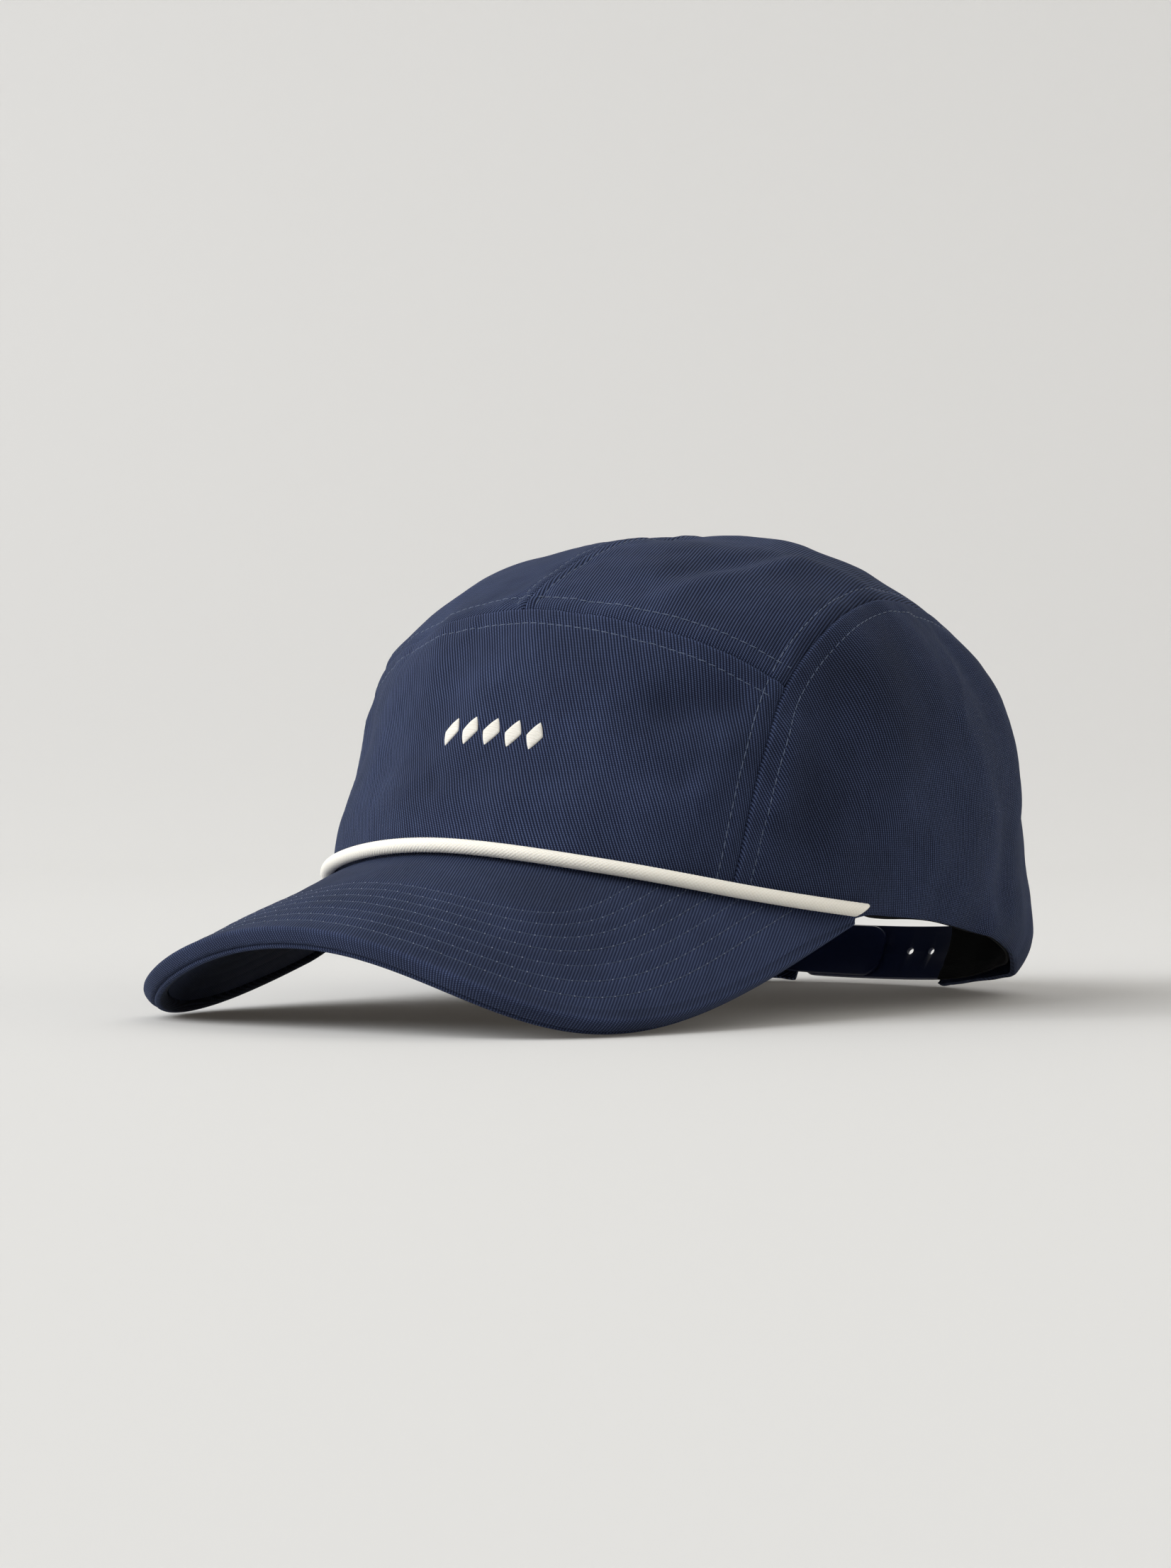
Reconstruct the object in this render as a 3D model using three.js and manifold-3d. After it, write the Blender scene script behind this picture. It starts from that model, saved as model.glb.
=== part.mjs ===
// A five-panel rope cap, lying on a table on its brim and the back of its hem.
// Millimetres. The front is -Y, the wearer's left is +X and up is +Z. The origin is under the middle of the cap.
// Each piece is drawn in the crown's own frame, level on its base, and the whole cap is then tipped back to rest.
import * as THREE from "three";
import { mergeVertices } from "three/addons/utils/BufferGeometryUtils.js";
import Module from "manifold-3d";

const wasm = await Module();
wasm.setup();

// Driving sizes
const WALL = 1.3; // twill with its backing
const GAP = 0.4; // between panels that meet at a seam
const CLEAR = 0.3; // between a piece and the one that it is sewn to
const HEMWARD = 1.3; // how much closer together a panel's rows of points lie towards its hem
const REST = { tip: 11.5, baseMiddleY: 21.4, baseMiddleZ: 21.9 }; // how the cap lies on the table
const SQUARENESS = { front: 1.94, back: 2.3, round: 2, fadeFrom: 50 }; // of the plan, which is round at the top

// The crown, measured from the middle of its base: how far out it lies to the front, to the side and to the back,
// at each angle of rise above the base.
const crownRows = [
  { rise: 0, front: 99.8, side: 80.4, back: 108.2 },
  { rise: 7, front: 98.4, side: 83.4, back: 113.0 },
  { rise: 16, front: 96.2, side: 87.3, back: 110.0 },
  { rise: 28, front: 98.7, side: 95.4, back: 106.0 },
  { rise: 42, front: 102.3, side: 103.6, back: 103.1 },
  { rise: 56, front: 101.5, side: 105.8, back: 102.2 },
  { rise: 72, front: 101.9, side: 105.3, back: 103.2 },
  { rise: 90, front: 104.0, side: 104.0, back: 104.0 },
];
// The height of the crown's sewn edge above the base, at each turn from the front round to the back.
const hemRows = [
  { turn: 0, height: -0.8 },
  { turn: 25, height: -2.3 },
  { turn: 50, height: -2.9 },
  { turn: 72, height: -1.1 },
  { turn: 95, height: 2.3 },
  { turn: 125, height: 2.3 },
  { turn: 150, height: -0.4 },
  { turn: 166, height: -1.1 },
  { turn: 180, height: -0.6 },
];
// Soft folds: each runs from one place to another, sinks by its depth and fades over its width.
// A negative depth stands out.
const folds = [
  { name: "crease behind the left side", from: [102, 48], to: [117, 9], width: 7, depth: 1.1 },
  { name: "ridge beside that crease", from: [111, 46], to: [125, 10], width: 8, depth: -0.8 },
  { name: "roll above the left hem", from: [114, 3], to: [150, 4], width: 8, depth: -2.8 },
  { name: "roll above the right hem", from: [-114, 3], to: [-150, 4], width: 8, depth: -2.8 },
  { name: "dent over the rope's left end", from: [72, 8], to: [80, 5], width: 7, depth: 0.9 },
  { name: "dent over the rope's right end", from: [-72, 8], to: [-80, 5], width: 7, depth: 0.9 },
  { name: "dimple in the left of the top", from: [48, 62], to: [70, 66], width: 12, depth: 0.9 },
  { name: "fold at the front's right edge", from: [-38, 10], to: [-40, 27], width: 7, depth: 0.8 },
];
const FRONT_CORNER = 45.7; // turn where the side seam leaves the hem
const JUNCTION = { turn: 52, rise: 32, along: 51 }; // where the front's top seam meets the side seam
// The seam between the front panel and the top, from the middle to the side.
const frontSeamRows = [
  { turn: 0, rise: 41.0 },
  { turn: 12, rise: 40.4 },
  { turn: 21, rise: 39.4 },
  { turn: 29, rise: 38.1 },
  { turn: 36, rise: 36.7 },
  { turn: 44, rise: 34.8 },
  { turn: 52, rise: 32.0 },
];
// The back opening is half an ellipse over the base. The side seams reach it at the shoulder's angle.
const ARCH = { halfWidth: 25.5, height: 40, shoulder: 38 };
const SIDE_CORNER_ALONG = 64; // where the side panel's front edge becomes its top edge

// The brim is a sheet bent over a cylinder that slopes down to the front.
const BRIM = {
  bendRadius: 96.8,
  slope: 28.9,
  rootHeight: 0.8, // of its upper face at the crown, if it were not sewn down to the crown's edge
  halfWidth: 90.3,
  reach: 59.8, // how far the front edge lies from the crown
  shoulder: -68.3, // where the outline is widest, behind the crown's front
  squareness: 3.9,
  endTurn: 71, // where the brim ends on the crown
  endAngle: 4.6,
  upper: 3.0, // cover and board
  under: 4.4, // down to the lower face of the under cover
  tuck: 3.2, // how far the crown's edge reaches down behind the brim
  clear: 0.45, // between its inner edge and the crown
  endThin: 0.3, // share of the full thickness at its two ends
  endShare: 0.1, // share of its length over which each end thins
  fullSpan: 14, // width that it needs for a full rolled edge
};
// The rolled front edge in section: distance in from the outline, and height over the brim's upper face.
const rollRows = [
  { inward: 5.5, proud: 0.0 },
  { inward: 0.8, proud: -0.4 },
  { inward: 0.1, proud: -1.4 },
  { inward: 0.0, proud: -2.7 },
  { inward: 0.1, proud: -4.4 },
  { inward: 0.7, proud: -5.2 },
  { inward: 2.0, proud: -5.6 },
  { inward: 3.5, proud: -5.3 },
  { inward: 4.6, proud: -4.3 },
  { inward: 5.2, proud: -3.0 },
];
const ROPE = { radius: 2.05, clear: 0.3, endTurn: 72.5, tip: 7, tipShare: 0.25 };
const BAND = { height: 30, wall: 1.2, lift: 0.6, clear: 0.7, endTurn: 165.5 }; // the sweatband
const BAND_ROOM = { turn: 150, perLayer: 3, fade: 8 }; // where it starts to pass over the straps' sewn ends
const STRAP = { low: 0.3, width: 17, wall: 1.2, holePitch: 7.8, holeRadius: 1.6, pegRadius: 1.3 };
const PIN_SIDES = 12; // of the straps' holes and pegs
const HOLE_STRAP = { from: 36, to: -24, depth: WALL + CLEAR, firstHole: 18, holes: 6 };
const PEG_STRAP = { from: -36, to: 1.5, depth: WALL + 2 * CLEAR + STRAP.wall, pegs: 3, pegTop: 0.7 };
const BACK_AWAY = { arch: 110, strap: 106 }; // how far back lie the places that are given by their distance sideways

const navy = new THREE.MeshStandardMaterial({ color: 0x2a3350, roughness: 0.9, metalness: 0 });
const underNavy = new THREE.MeshStandardMaterial({ color: 0x1c2338, roughness: 0.95, metalness: 0 });
const cream = new THREE.MeshStandardMaterial({ color: 0xe6dfce, roughness: 0.8, metalness: 0 });
const black = new THREE.MeshStandardMaterial({ color: 0x111114, roughness: 0.95, metalness: 0 });
const plastic = new THREE.MeshStandardMaterial({ color: 0x141b33, roughness: 0.45, metalness: 0 });

const radians = THREE.MathUtils.degToRad;
const smoothstep = THREE.MathUtils.smoothstep;
const lerp = THREE.MathUtils.lerp;

// A smooth curve through one column of a table, which is flat at the ends that are asked for.
function smooth(rows, key, at, column, flatStart, flatEnd) {
  const last = rows.length - 1;
  const chord = (i) => (rows[i + 1][column] - rows[i][column]) / (rows[i + 1][key] - rows[i][key]);
  const slope = (i) => {
    if (i === 0) return flatStart ? 0 : chord(0);
    if (i === last) return flatEnd ? 0 : chord(last - 1);
    const before = rows[i][key] - rows[i - 1][key];
    const after = rows[i + 1][key] - rows[i][key];
    return (chord(i - 1) * after + chord(i) * before) / (before + after);
  };
  let i = 0;
  while (i < last - 1 && at > rows[i + 1][key]) i++;
  const span = rows[i + 1][key] - rows[i][key];
  const t = (at - rows[i][key]) / span;
  return (
    (2 * t ** 3 - 3 * t ** 2 + 1) * rows[i][column] +
    (t ** 3 - 2 * t ** 2 + t) * span * slope(i) +
    (3 * t ** 2 - 2 * t ** 3) * rows[i + 1][column] +
    (t ** 3 - t ** 2) * span * slope(i + 1)
  );
}

function direction(turn, rise) {
  const t = radians(turn);
  const r = radians(rise);
  return new THREE.Vector3(Math.sin(t) * Math.cos(r), -Math.cos(t) * Math.cos(r), Math.sin(r));
}

const turnOf = (d) => THREE.MathUtils.radToDeg(Math.atan2(d.x, -d.y));
const riseOf = (d) => THREE.MathUtils.radToDeg(Math.asin(THREE.MathUtils.clamp(d.z, -1, 1)));

// How far a fold pushes the cloth in at a place on the crown.
const foldLines = folds.map((f) => ({
  ...f,
  line: new THREE.Line3(direction(...f.from), direction(...f.to)),
}));
function foldDepth(d) {
  const nearest = new THREE.Vector3();
  let depth = 0;
  for (const fold of foldLines) {
    fold.line.closestPointToPoint(d, true, nearest);
    const away = (nearest.distanceTo(d) * 100) / fold.width;
    depth += fold.depth * Math.exp(-away * away);
  }
  return depth;
}

// The outer face of the crown in a direction from the middle of its base.
function crownPoint(d) {
  const rise = riseOf(d);
  const turn = radians(turnOf(d));
  const ahead = Math.cos(turn);
  const frontBack = smooth(crownRows, "rise", rise, ahead > 0 ? "front" : "back", false, true);
  const side = smooth(crownRows, "rise", rise, "side", false, true);
  const low = ahead > 0 ? SQUARENESS.front : SQUARENESS.back;
  const n = lerp(low, SQUARENESS.round, smoothstep(rise, SQUARENESS.fadeFrom, 90));
  const sum = (Math.abs(ahead) / frontBack) ** n + (Math.abs(Math.sin(turn)) / side) ** n;
  return d.clone().multiplyScalar(sum ** (-1 / n) - foldDepth(d));
}

// The way straight out of the crown's face.
function crownNormal(d) {
  const step = 0.01;
  const across = new THREE.Vector3(0, 0, 1).cross(d);
  if (across.length() < 0.001) across.set(1, 0, 0);
  across.normalize();
  const up = d.clone().cross(across);
  const near = (way, by) => crownPoint(d.clone().addScaledVector(way, by).normalize());
  const alongAcross = near(across, step).sub(near(across, -step));
  const alongUp = near(up, step).sub(near(up, -step));
  return alongAcross.cross(alongUp).normalize();
}

// A place on the crown, some depth in from its outer face.
function wallPoint(d, depth) {
  return crownPoint(d).addScaledVector(crownNormal(d), -depth);
}

// The direction of the place on the crown at a turn and a height above the base.
function atHeight(turn, height) {
  let d = direction(turn, 0);
  for (let i = 0; i < 6; i++) {
    const reach = crownPoint(d).length();
    d = direction(turn, THREE.MathUtils.radToDeg(Math.asin(height / reach)));
  }
  return d;
}

const sewnHeight = (turn) => smooth(hemRows, "turn", Math.abs(turn), "height", true, true);
// Behind the brim the crown's edge reaches down past the line where the brim is sewn on.
const tuck = (turn) => BRIM.tuck * (1 - smoothstep(Math.abs(turn), BRIM.endTurn - 6, BRIM.endTurn + 5));
const hemHeight = (turn) => sewnHeight(turn) - tuck(turn);
const hem = (turn) => atHeight(turn, hemHeight(turn));

// The direction of a place on the back of the crown, by distance from the middle and height above the base.
function onBack(sideways, height) {
  const back = Math.sqrt(BACK_AWAY.arch ** 2 - sideways ** 2 - height ** 2);
  return new THREE.Vector3(sideways, back, height).normalize();
}

const onArch = (angle) =>
  onBack(ARCH.halfWidth * Math.cos(radians(angle)), ARCH.height * Math.sin(radians(angle)));
const footTurn = turnOf(onArch(0));
const footAngle = THREE.MathUtils.radToDeg(Math.asin(hemHeight(footTurn) / ARCH.height));
const shoulder = onArch(ARCH.shoulder);

// The side seam, from the hem up the front panel's edge, over the side and down to the back opening.
const sideSeamRows = [
  { along: 0, turn: FRONT_CORNER, rise: riseOf(hem(FRONT_CORNER)) },
  { along: 31, turn: 48.7, rise: 20.5 },
  { along: JUNCTION.along, turn: JUNCTION.turn, rise: JUNCTION.rise },
  { along: SIDE_CORNER_ALONG, turn: 56, rise: 38 },
  { along: 75, turn: 61, rise: 42.8 },
  { along: 86, turn: 67, rise: 47 },
  { along: 97, turn: 74, rise: 50.4 },
  { along: 112, turn: 87, rise: 53.4 },
  { along: 135, turn: 108, rise: 54.6 },
  { along: 155, turn: 125, rise: 51.5 },
  { along: 178, turn: 140, rise: 43.5 },
  { along: 204, turn: 153, rise: 32.5 },
  { along: 224, turn: 161.5, rise: 24 },
  { along: 239, turn: turnOf(shoulder), rise: riseOf(shoulder) },
];
const SEAM_END = sideSeamRows.at(-1).along;
const sideSeam = (along) =>
  direction(
    smooth(sideSeamRows, "along", along, "turn", false, false),
    smooth(sideSeamRows, "along", along, "rise", false, false),
  );
const frontSeam = (turn) =>
  direction(turn, smooth(frontSeamRows, "turn", Math.abs(turn), "rise", true, false));

const archSide = (t) => onArch(lerp(footAngle, ARCH.shoulder, t));

const mirror = (v) => new THREE.Vector3(-v.x, v.y, v.z);

// A solid from its vertices and quads, with its faces turned out.
function solidFrom(points, quads) {
  const index = quads.flatMap(([a, b, c, d]) => [a, b, c, a, c, d]);
  let volume = 0;
  for (let i = 0; i < index.length; i += 3) {
    const [a, b, c] = [points[index[i]], points[index[i + 1]], points[index[i + 2]]];
    volume += a.dot(b.clone().cross(c));
  }
  if (volume < 0) index.reverse();
  const geometry = new THREE.BufferGeometry().setFromPoints(points);
  geometry.setIndex(index);
  geometry.computeVertexNormals();
  return geometry;
}

// A closed wall between an outer and an inner sheet of points, which have the same rows and columns.
function wallSolid(outer, inner) {
  const rows = outer.length;
  const columns = outer[0].length;
  const points = [...outer.flat(), ...inner.flat()];
  const out = (i, j) => i * columns + j;
  const back = (i, j) => rows * columns + i * columns + j;
  const quads = [];
  for (let i = 0; i < rows - 1; i++) {
    for (let j = 0; j < columns - 1; j++) {
      quads.push([out(i, j), out(i, j + 1), out(i + 1, j + 1), out(i + 1, j)]);
      quads.push([back(i, j), back(i + 1, j), back(i + 1, j + 1), back(i, j + 1)]);
    }
    quads.push([out(i, 0), out(i + 1, 0), back(i + 1, 0), back(i, 0)]);
    quads.push([out(i + 1, columns - 1), out(i, columns - 1), back(i, columns - 1), back(i + 1, columns - 1)]);
  }
  for (let j = 0; j < columns - 1; j++) {
    quads.push([out(0, j + 1), out(0, j), back(0, j), back(0, j + 1)]);
    quads.push([out(rows - 1, j), out(rows - 1, j + 1), back(rows - 1, j + 1), back(rows - 1, j)]);
  }
  return solidFrom(points, quads);
}

// A solid through closed sections that all have the same number of points.
function loftSolid(sections) {
  const count = sections[0].length;
  const at = (i, j) => i * count + (j % count);
  const quads = [];
  for (let i = 0; i < sections.length - 1; i++)
    for (let j = 0; j < count; j++) quads.push([at(i, j), at(i, j + 1), at(i + 1, j + 1), at(i + 1, j)]);
  for (let j = 0; j < count / 2 - 1; j++) {
    quads.push([at(0, j + 1), at(0, j), at(0, count - 1 - j), at(0, count - 2 - j)]);
    const end = sections.length - 1;
    quads.push([at(end, j), at(end, j + 1), at(end, count - 2 - j), at(end, count - 1 - j)]);
  }
  return solidFrom(sections.flat(), quads);
}

// The length of an edge of a panel on the crown.
function edgeLength(edge) {
  const steps = 24;
  let length = 0;
  for (let i = 0; i < steps; i++) length += crownPoint(edge(i / steps)).distanceTo(crownPoint(edge((i + 1) / steps)));
  return length;
}

// A panel of the crown inside four edges. The bottom and top run left to right, the left and right run upwards.
function panelWall(edges, columns, rows, flip) {
  const hemward = edges.hemmed ? HEMWARD : 1;
  const { bottom, top, left, right } = edges;
  const insetU = GAP / (edgeLength(bottom) + edgeLength(top));
  const insetV = GAP / (edgeLength(left) + edgeLength(right));
  const place = (u, v) => {
    const upright = bottom(u).lerp(top(u), v);
    const level = left(v).lerp(right(v), u);
    const corners = bottom(0).lerp(bottom(1), u).lerp(top(0).lerp(top(1), u), v);
    return upright.add(level).sub(corners).normalize();
  };
  const sheet = (depth) =>
    Array.from({ length: rows + 1 }, (_, i) =>
      Array.from({ length: columns + 1 }, (_, j) => {
        const up = (i / rows) ** hemward;
        const d = place(lerp(insetU, 1 - insetU, j / columns), lerp(edges.hemmed ? 0 : insetV, 1 - insetV, up));
        return wallPoint(flip ? mirror(d) : d, depth);
      }),
    );
  return wallSolid(sheet(0), sheet(WALL));
}

const frontEdges = {
  hemmed: true,
  bottom: (t) => hem(lerp(-FRONT_CORNER, FRONT_CORNER, t)),
  top: (t) => frontSeam(lerp(-JUNCTION.turn, JUNCTION.turn, t)),
  left: (t) => mirror(sideSeam(JUNCTION.along * t)),
  right: (t) => sideSeam(JUNCTION.along * t),
};
const sideEdges = {
  hemmed: true,
  bottom: (t) => hem(lerp(FRONT_CORNER, footTurn, t)),
  top: (t) => sideSeam(lerp(SIDE_CORNER_ALONG, SEAM_END, t)),
  left: (t) => sideSeam(SIDE_CORNER_ALONG * t),
  right: archSide,
};
const topEdges = {
  bottom: (t) => frontSeam(JUNCTION.turn * t),
  top: (t) => onArch(lerp(90, ARCH.shoulder, t)),
  left: (t) => direction(0, lerp(frontSeamRows[0].rise, 180 - riseOf(onArch(90)), t)),
  right: (t) => sideSeam(lerp(JUNCTION.along, SEAM_END, t)),
};

// The brim's own frame: across the bend, forward down the slope, and proud of the upper face.
const brimForward = new THREE.Vector3(0, -Math.cos(radians(BRIM.slope)), -Math.sin(radians(BRIM.slope)));
const brimInward = new THREE.Vector3(0, Math.sin(radians(BRIM.slope)), -Math.cos(radians(BRIM.slope)));
const brimRoot = crownPoint(atHeight(0, BRIM.rootHeight));

function brimPoint({ across, forward, proud }) {
  const bend = across / BRIM.bendRadius;
  const radius = BRIM.bendRadius + proud;
  return brimRoot
    .clone()
    .addScaledVector(brimForward, forward)
    .addScaledVector(brimInward, BRIM.bendRadius - radius * Math.cos(bend))
    .add(new THREE.Vector3(radius * Math.sin(bend), 0, 0));
}

function brimNormal(across) {
  const bend = across / BRIM.bendRadius;
  return new THREE.Vector3(Math.sin(bend), 0, 0).addScaledVector(brimInward, -Math.cos(bend));
}

function toBrim(point) {
  const from = point.clone().sub(brimRoot);
  const toAxis = BRIM.bendRadius - from.dot(brimInward);
  return {
    across: BRIM.bendRadius * Math.atan2(from.x, toAxis),
    forward: from.dot(brimForward),
    proud: Math.hypot(from.x, toAxis) - BRIM.bendRadius,
  };
}

// The brim's inner edge, against the crown, at some depth under its upper face.
function brimInner(turn, depth) {
  const bend = toBrim(crownPoint(atHeight(turn, sewnHeight(turn)))).across / BRIM.bendRadius;
  const drop = depth / (Math.cos(radians(BRIM.slope)) * Math.cos(bend));
  return toBrim(wallPoint(atHeight(turn, sewnHeight(turn) - drop), -BRIM.clear));
}

function brimOutline(angle) {
  const a = radians(angle);
  const n = BRIM.squareness;
  const length = BRIM.reach - BRIM.shoulder;
  const reach = (Math.abs(Math.cos(a) / BRIM.halfWidth) ** n + Math.abs(Math.sin(a) / length) ** n) ** (-1 / n);
  return { across: reach * Math.cos(a), forward: BRIM.shoulder + reach * Math.sin(a) };
}

// Makes a curve whose points can be asked for by their share of its length.
function curveOf(place) {
  const curve = new THREE.Curve();
  curve.arcLengthDivisions = 400;
  curve.getPoint = place;
  return curve;
}

const innerLine = curveOf((t) => crownPoint(atHeight(lerp(-BRIM.endTurn, BRIM.endTurn, t), 0)));
const outerLine = curveOf((t) => {
  const { across, forward } = brimOutline(lerp(180 - BRIM.endAngle, BRIM.endAngle, t));
  return new THREE.Vector3(across, forward, 0);
});

const mix = (a, b, t) => ({
  across: lerp(a.across, b.across, t),
  forward: lerp(a.forward, b.forward, t),
  proud: lerp(a.proud, b.proud, t),
});

// What the sections of the brim share: the turn at the crown, the outline's point, the way in and the thinning.
function brimStations(count) {
  return Array.from({ length: count + 1 }, (_, i) => {
    const share = i / count;
    const turn = lerp(-BRIM.endTurn, BRIM.endTurn, innerLine.getUtoTmapping(share));
    const edge = outerLine.getPointAt(share);
    const inner = brimInner(turn, 0);
    const span = Math.hypot(inner.across - edge.x, inner.forward - edge.y);
    const way = { across: (inner.across - edge.x) / span, forward: (inner.forward - edge.y) / span };
    const thin = lerp(BRIM.endThin, 1, smoothstep(Math.min(share, 1 - share), 0, BRIM.endShare));
    const edgeScale = Math.min(1, span / BRIM.fullSpan);
    const at = (inward, proud) => ({
      across: edge.x + way.across * inward * edgeScale,
      forward: edge.y + way.forward * inward * edgeScale,
      proud: proud * thin,
    });
    return { turn, thin, at };
  });
}

function brimUpper() {
  const acrossSteps = 7;
  const sections = brimStations(42).map(({ turn, thin, at }) => {
    const top = brimInner(turn, 0);
    const low = brimInner(turn, BRIM.upper * thin);
    const roll = rollRows.map((r) => at(r.inward, r.proud));
    const section = [];
    for (let k = 0; k < acrossSteps; k++) section.push(mix(top, roll[0], k / acrossSteps));
    section.push(...roll);
    for (let k = acrossSteps - 1; k >= 0; k--) section.push(mix(low, roll.at(-1), k / acrossSteps));
    return section.map(brimPoint);
  });
  return loftSolid(sections);
}

function brimUnder() {
  const steps = 6;
  const edgeInward = 5.8;
  const sections = brimStations(42).map(({ turn, thin, at }) => {
    const faces = [BRIM.upper + CLEAR, BRIM.under].map((depth) => ({
      inner: brimInner(turn, depth * thin),
      outer: at(edgeInward, -depth),
    }));
    const section = [];
    for (let k = 0; k <= steps; k++) section.push(mix(faces[0].inner, faces[0].outer, k / steps));
    for (let k = steps; k >= 0; k--) section.push(mix(faces[1].inner, faces[1].outer, k / steps));
    return section.map(brimPoint);
  });
  return loftSolid(sections);
}

// The rope lies in the corner between the crown and the brim. Its ends are fused to a point.
function rope() {
  const steps = 60;
  const sides = 8;
  const points = Array.from({ length: steps + 1 }, (_, i) => {
    const turn = lerp(-ROPE.endTurn, ROPE.endTurn, i / steps);
    const d = atHeight(turn, sewnHeight(turn));
    const wall = crownNormal(d);
    const seat = brimNormal(toBrim(crownPoint(d)).across);
    const away = (ROPE.radius + ROPE.clear) / (1 + wall.dot(seat));
    return crownPoint(d).addScaledVector(wall.add(seat), away);
  });
  const path = new THREE.CatmullRomCurve3(points);
  const section = new THREE.Shape();
  for (let k = 0; k < sides; k++) {
    const angle = (2 * Math.PI * k) / sides;
    const [x, y] = [ROPE.radius * Math.cos(angle), ROPE.radius * Math.sin(angle)];
    k ? section.lineTo(x, y) : section.moveTo(x, y);
  }
  section.closePath();
  const tube = new THREE.ExtrudeGeometry(section, { steps: 64, extrudePath: path, bevelEnabled: false });
  tube.deleteAttribute("normal");
  tube.deleteAttribute("uv");
  const geometry = mergeVertices(tube, 1e-3);
  taperTo(geometry, points[0], points[1]);
  taperTo(geometry, points.at(-1), points.at(-2));
  geometry.computeVertexNormals();
  return geometry;
}

// Draws a tube in to a blunt point at its end, which lies at the first point and faces away from the second.
function taperTo(geometry, end, before) {
  const axis = before.clone().sub(end).normalize();
  const position = geometry.getAttribute("position");
  const point = new THREE.Vector3();
  for (let i = 0; i < position.count; i++) {
    point.fromBufferAttribute(position, i).sub(end);
    if (point.length() > ROPE.tip) continue;
    const along = point.dot(axis);
    const keep = lerp(ROPE.tipShare, 1, smoothstep(along, 0, ROPE.tip * 0.7));
    point.addScaledVector(axis, -along).multiplyScalar(keep).addScaledVector(axis, along).add(end);
    position.setXYZ(i, point.x, point.y, point.z);
  }
}

// A band inside the crown between two turns, by the heights of its lower and upper edge and its depth in the wall.
function innerBand({ from, to, low, high, depth, wall, columns, rows }) {
  const sheet = (extra) =>
    Array.from({ length: rows + 1 }, (_, i) =>
      Array.from({ length: columns + 1 }, (_, j) => {
        const turn = lerp(from, to, j / columns);
        return wallPoint(atHeight(turn, lerp(low(turn), high(turn), i / rows)), depth(turn) + extra);
      }),
    );
  return wallSolid(sheet(0), sheet(wall));
}

// The sweatband lies against the panels, and leaves room at its ends for the straps sewn in behind it.
function sweatband() {
  const room = (turn) => {
    const layers = turn > 0 ? 1 : 2;
    const start = BAND_ROOM.turn - BAND_ROOM.perLayer * layers;
    return layers * (STRAP.wall + CLEAR) * smoothstep(Math.abs(turn), start - BAND_ROOM.fade, start);
  };
  return innerBand({
    from: -BAND.endTurn,
    to: BAND.endTurn,
    low: (turn) => hemHeight(turn) + BAND.lift,
    high: (turn) => hemHeight(turn) + BAND.height,
    depth: (turn) => WALL + BAND.clear + room(turn),
    wall: BAND.wall,
    columns: 60,
    rows: 4,
  });
}

const turnAcross = (sideways) => 180 - THREE.MathUtils.radToDeg(Math.atan2(sideways, BACK_AWAY.strap));

function strapBand(strap) {
  return innerBand({
    from: turnAcross(strap.from),
    to: turnAcross(strap.to),
    low: () => STRAP.low,
    high: () => STRAP.low + STRAP.width,
    depth: () => strap.depth,
    wall: STRAP.wall,
    columns: 20,
    rows: 2,
  });
}

function toManifold(geometry) {
  const bare = geometry.clone();
  bare.deleteAttribute("normal");
  bare.deleteAttribute("uv");
  const merged = mergeVertices(bare, 1e-3);
  const vertProperties = Float32Array.from(merged.getAttribute("position").array);
  return new wasm.Manifold(new wasm.Mesh({ numProp: 3, vertProperties, triVerts: Uint32Array.from(merged.index.array) }));
}

function fromManifold(solid) {
  const mesh = solid.getMesh();
  const geometry = new THREE.BufferGeometry();
  geometry.setAttribute("position", new THREE.BufferAttribute(Float32Array.from(mesh.vertProperties), 3));
  geometry.setIndex(new THREE.BufferAttribute(Uint32Array.from(mesh.triVerts), 1));
  geometry.computeVertexNormals();
  return geometry;
}

// A round pin square to the strap, between two depths in the crown's wall.
function pinThrough(sideways, radius, outerDepth, innerDepth) {
  const d = atHeight(turnAcross(sideways), STRAP.low + STRAP.width / 2);
  const pin = new THREE.CylinderGeometry(radius, radius, innerDepth - outerDepth, PIN_SIDES);
  const middle = wallPoint(d, (innerDepth + outerDepth) / 2);
  const turned = new THREE.Quaternion().setFromUnitVectors(new THREE.Vector3(0, 1, 0), crownNormal(d));
  return pin.applyQuaternion(turned).translate(middle.x, middle.y, middle.z);
}

const holePlace = (k) => HOLE_STRAP.firstHole - k * STRAP.holePitch;

function holeStrap() {
  let solid = toManifold(strapBand(HOLE_STRAP));
  for (let k = 0; k < HOLE_STRAP.holes; k++) {
    const outer = HOLE_STRAP.depth - STRAP.wall;
    const inner = HOLE_STRAP.depth + 2 * STRAP.wall;
    solid = solid.subtract(toManifold(pinThrough(holePlace(k), STRAP.holeRadius, outer, inner)));
  }
  return fromManifold(solid);
}

function pegStrap() {
  let solid = toManifold(strapBand(PEG_STRAP));
  for (let k = 0; k < PEG_STRAP.pegs; k++) {
    const place = holePlace(HOLE_STRAP.holes - 1 - k);
    solid = solid.add(toManifold(pinThrough(place, STRAP.pegRadius, PEG_STRAP.pegTop, PEG_STRAP.depth + STRAP.wall / 2)));
  }
  return fromManifold(solid);
}

const cap = new THREE.Group();
cap.rotation.x = -radians(REST.tip);
cap.position.set(0, REST.baseMiddleY, REST.baseMiddleZ);

function add(name, geometry, material) {
  const mesh = new THREE.Mesh(geometry, material);
  mesh.name = name;
  cap.add(mesh);
}

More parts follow.
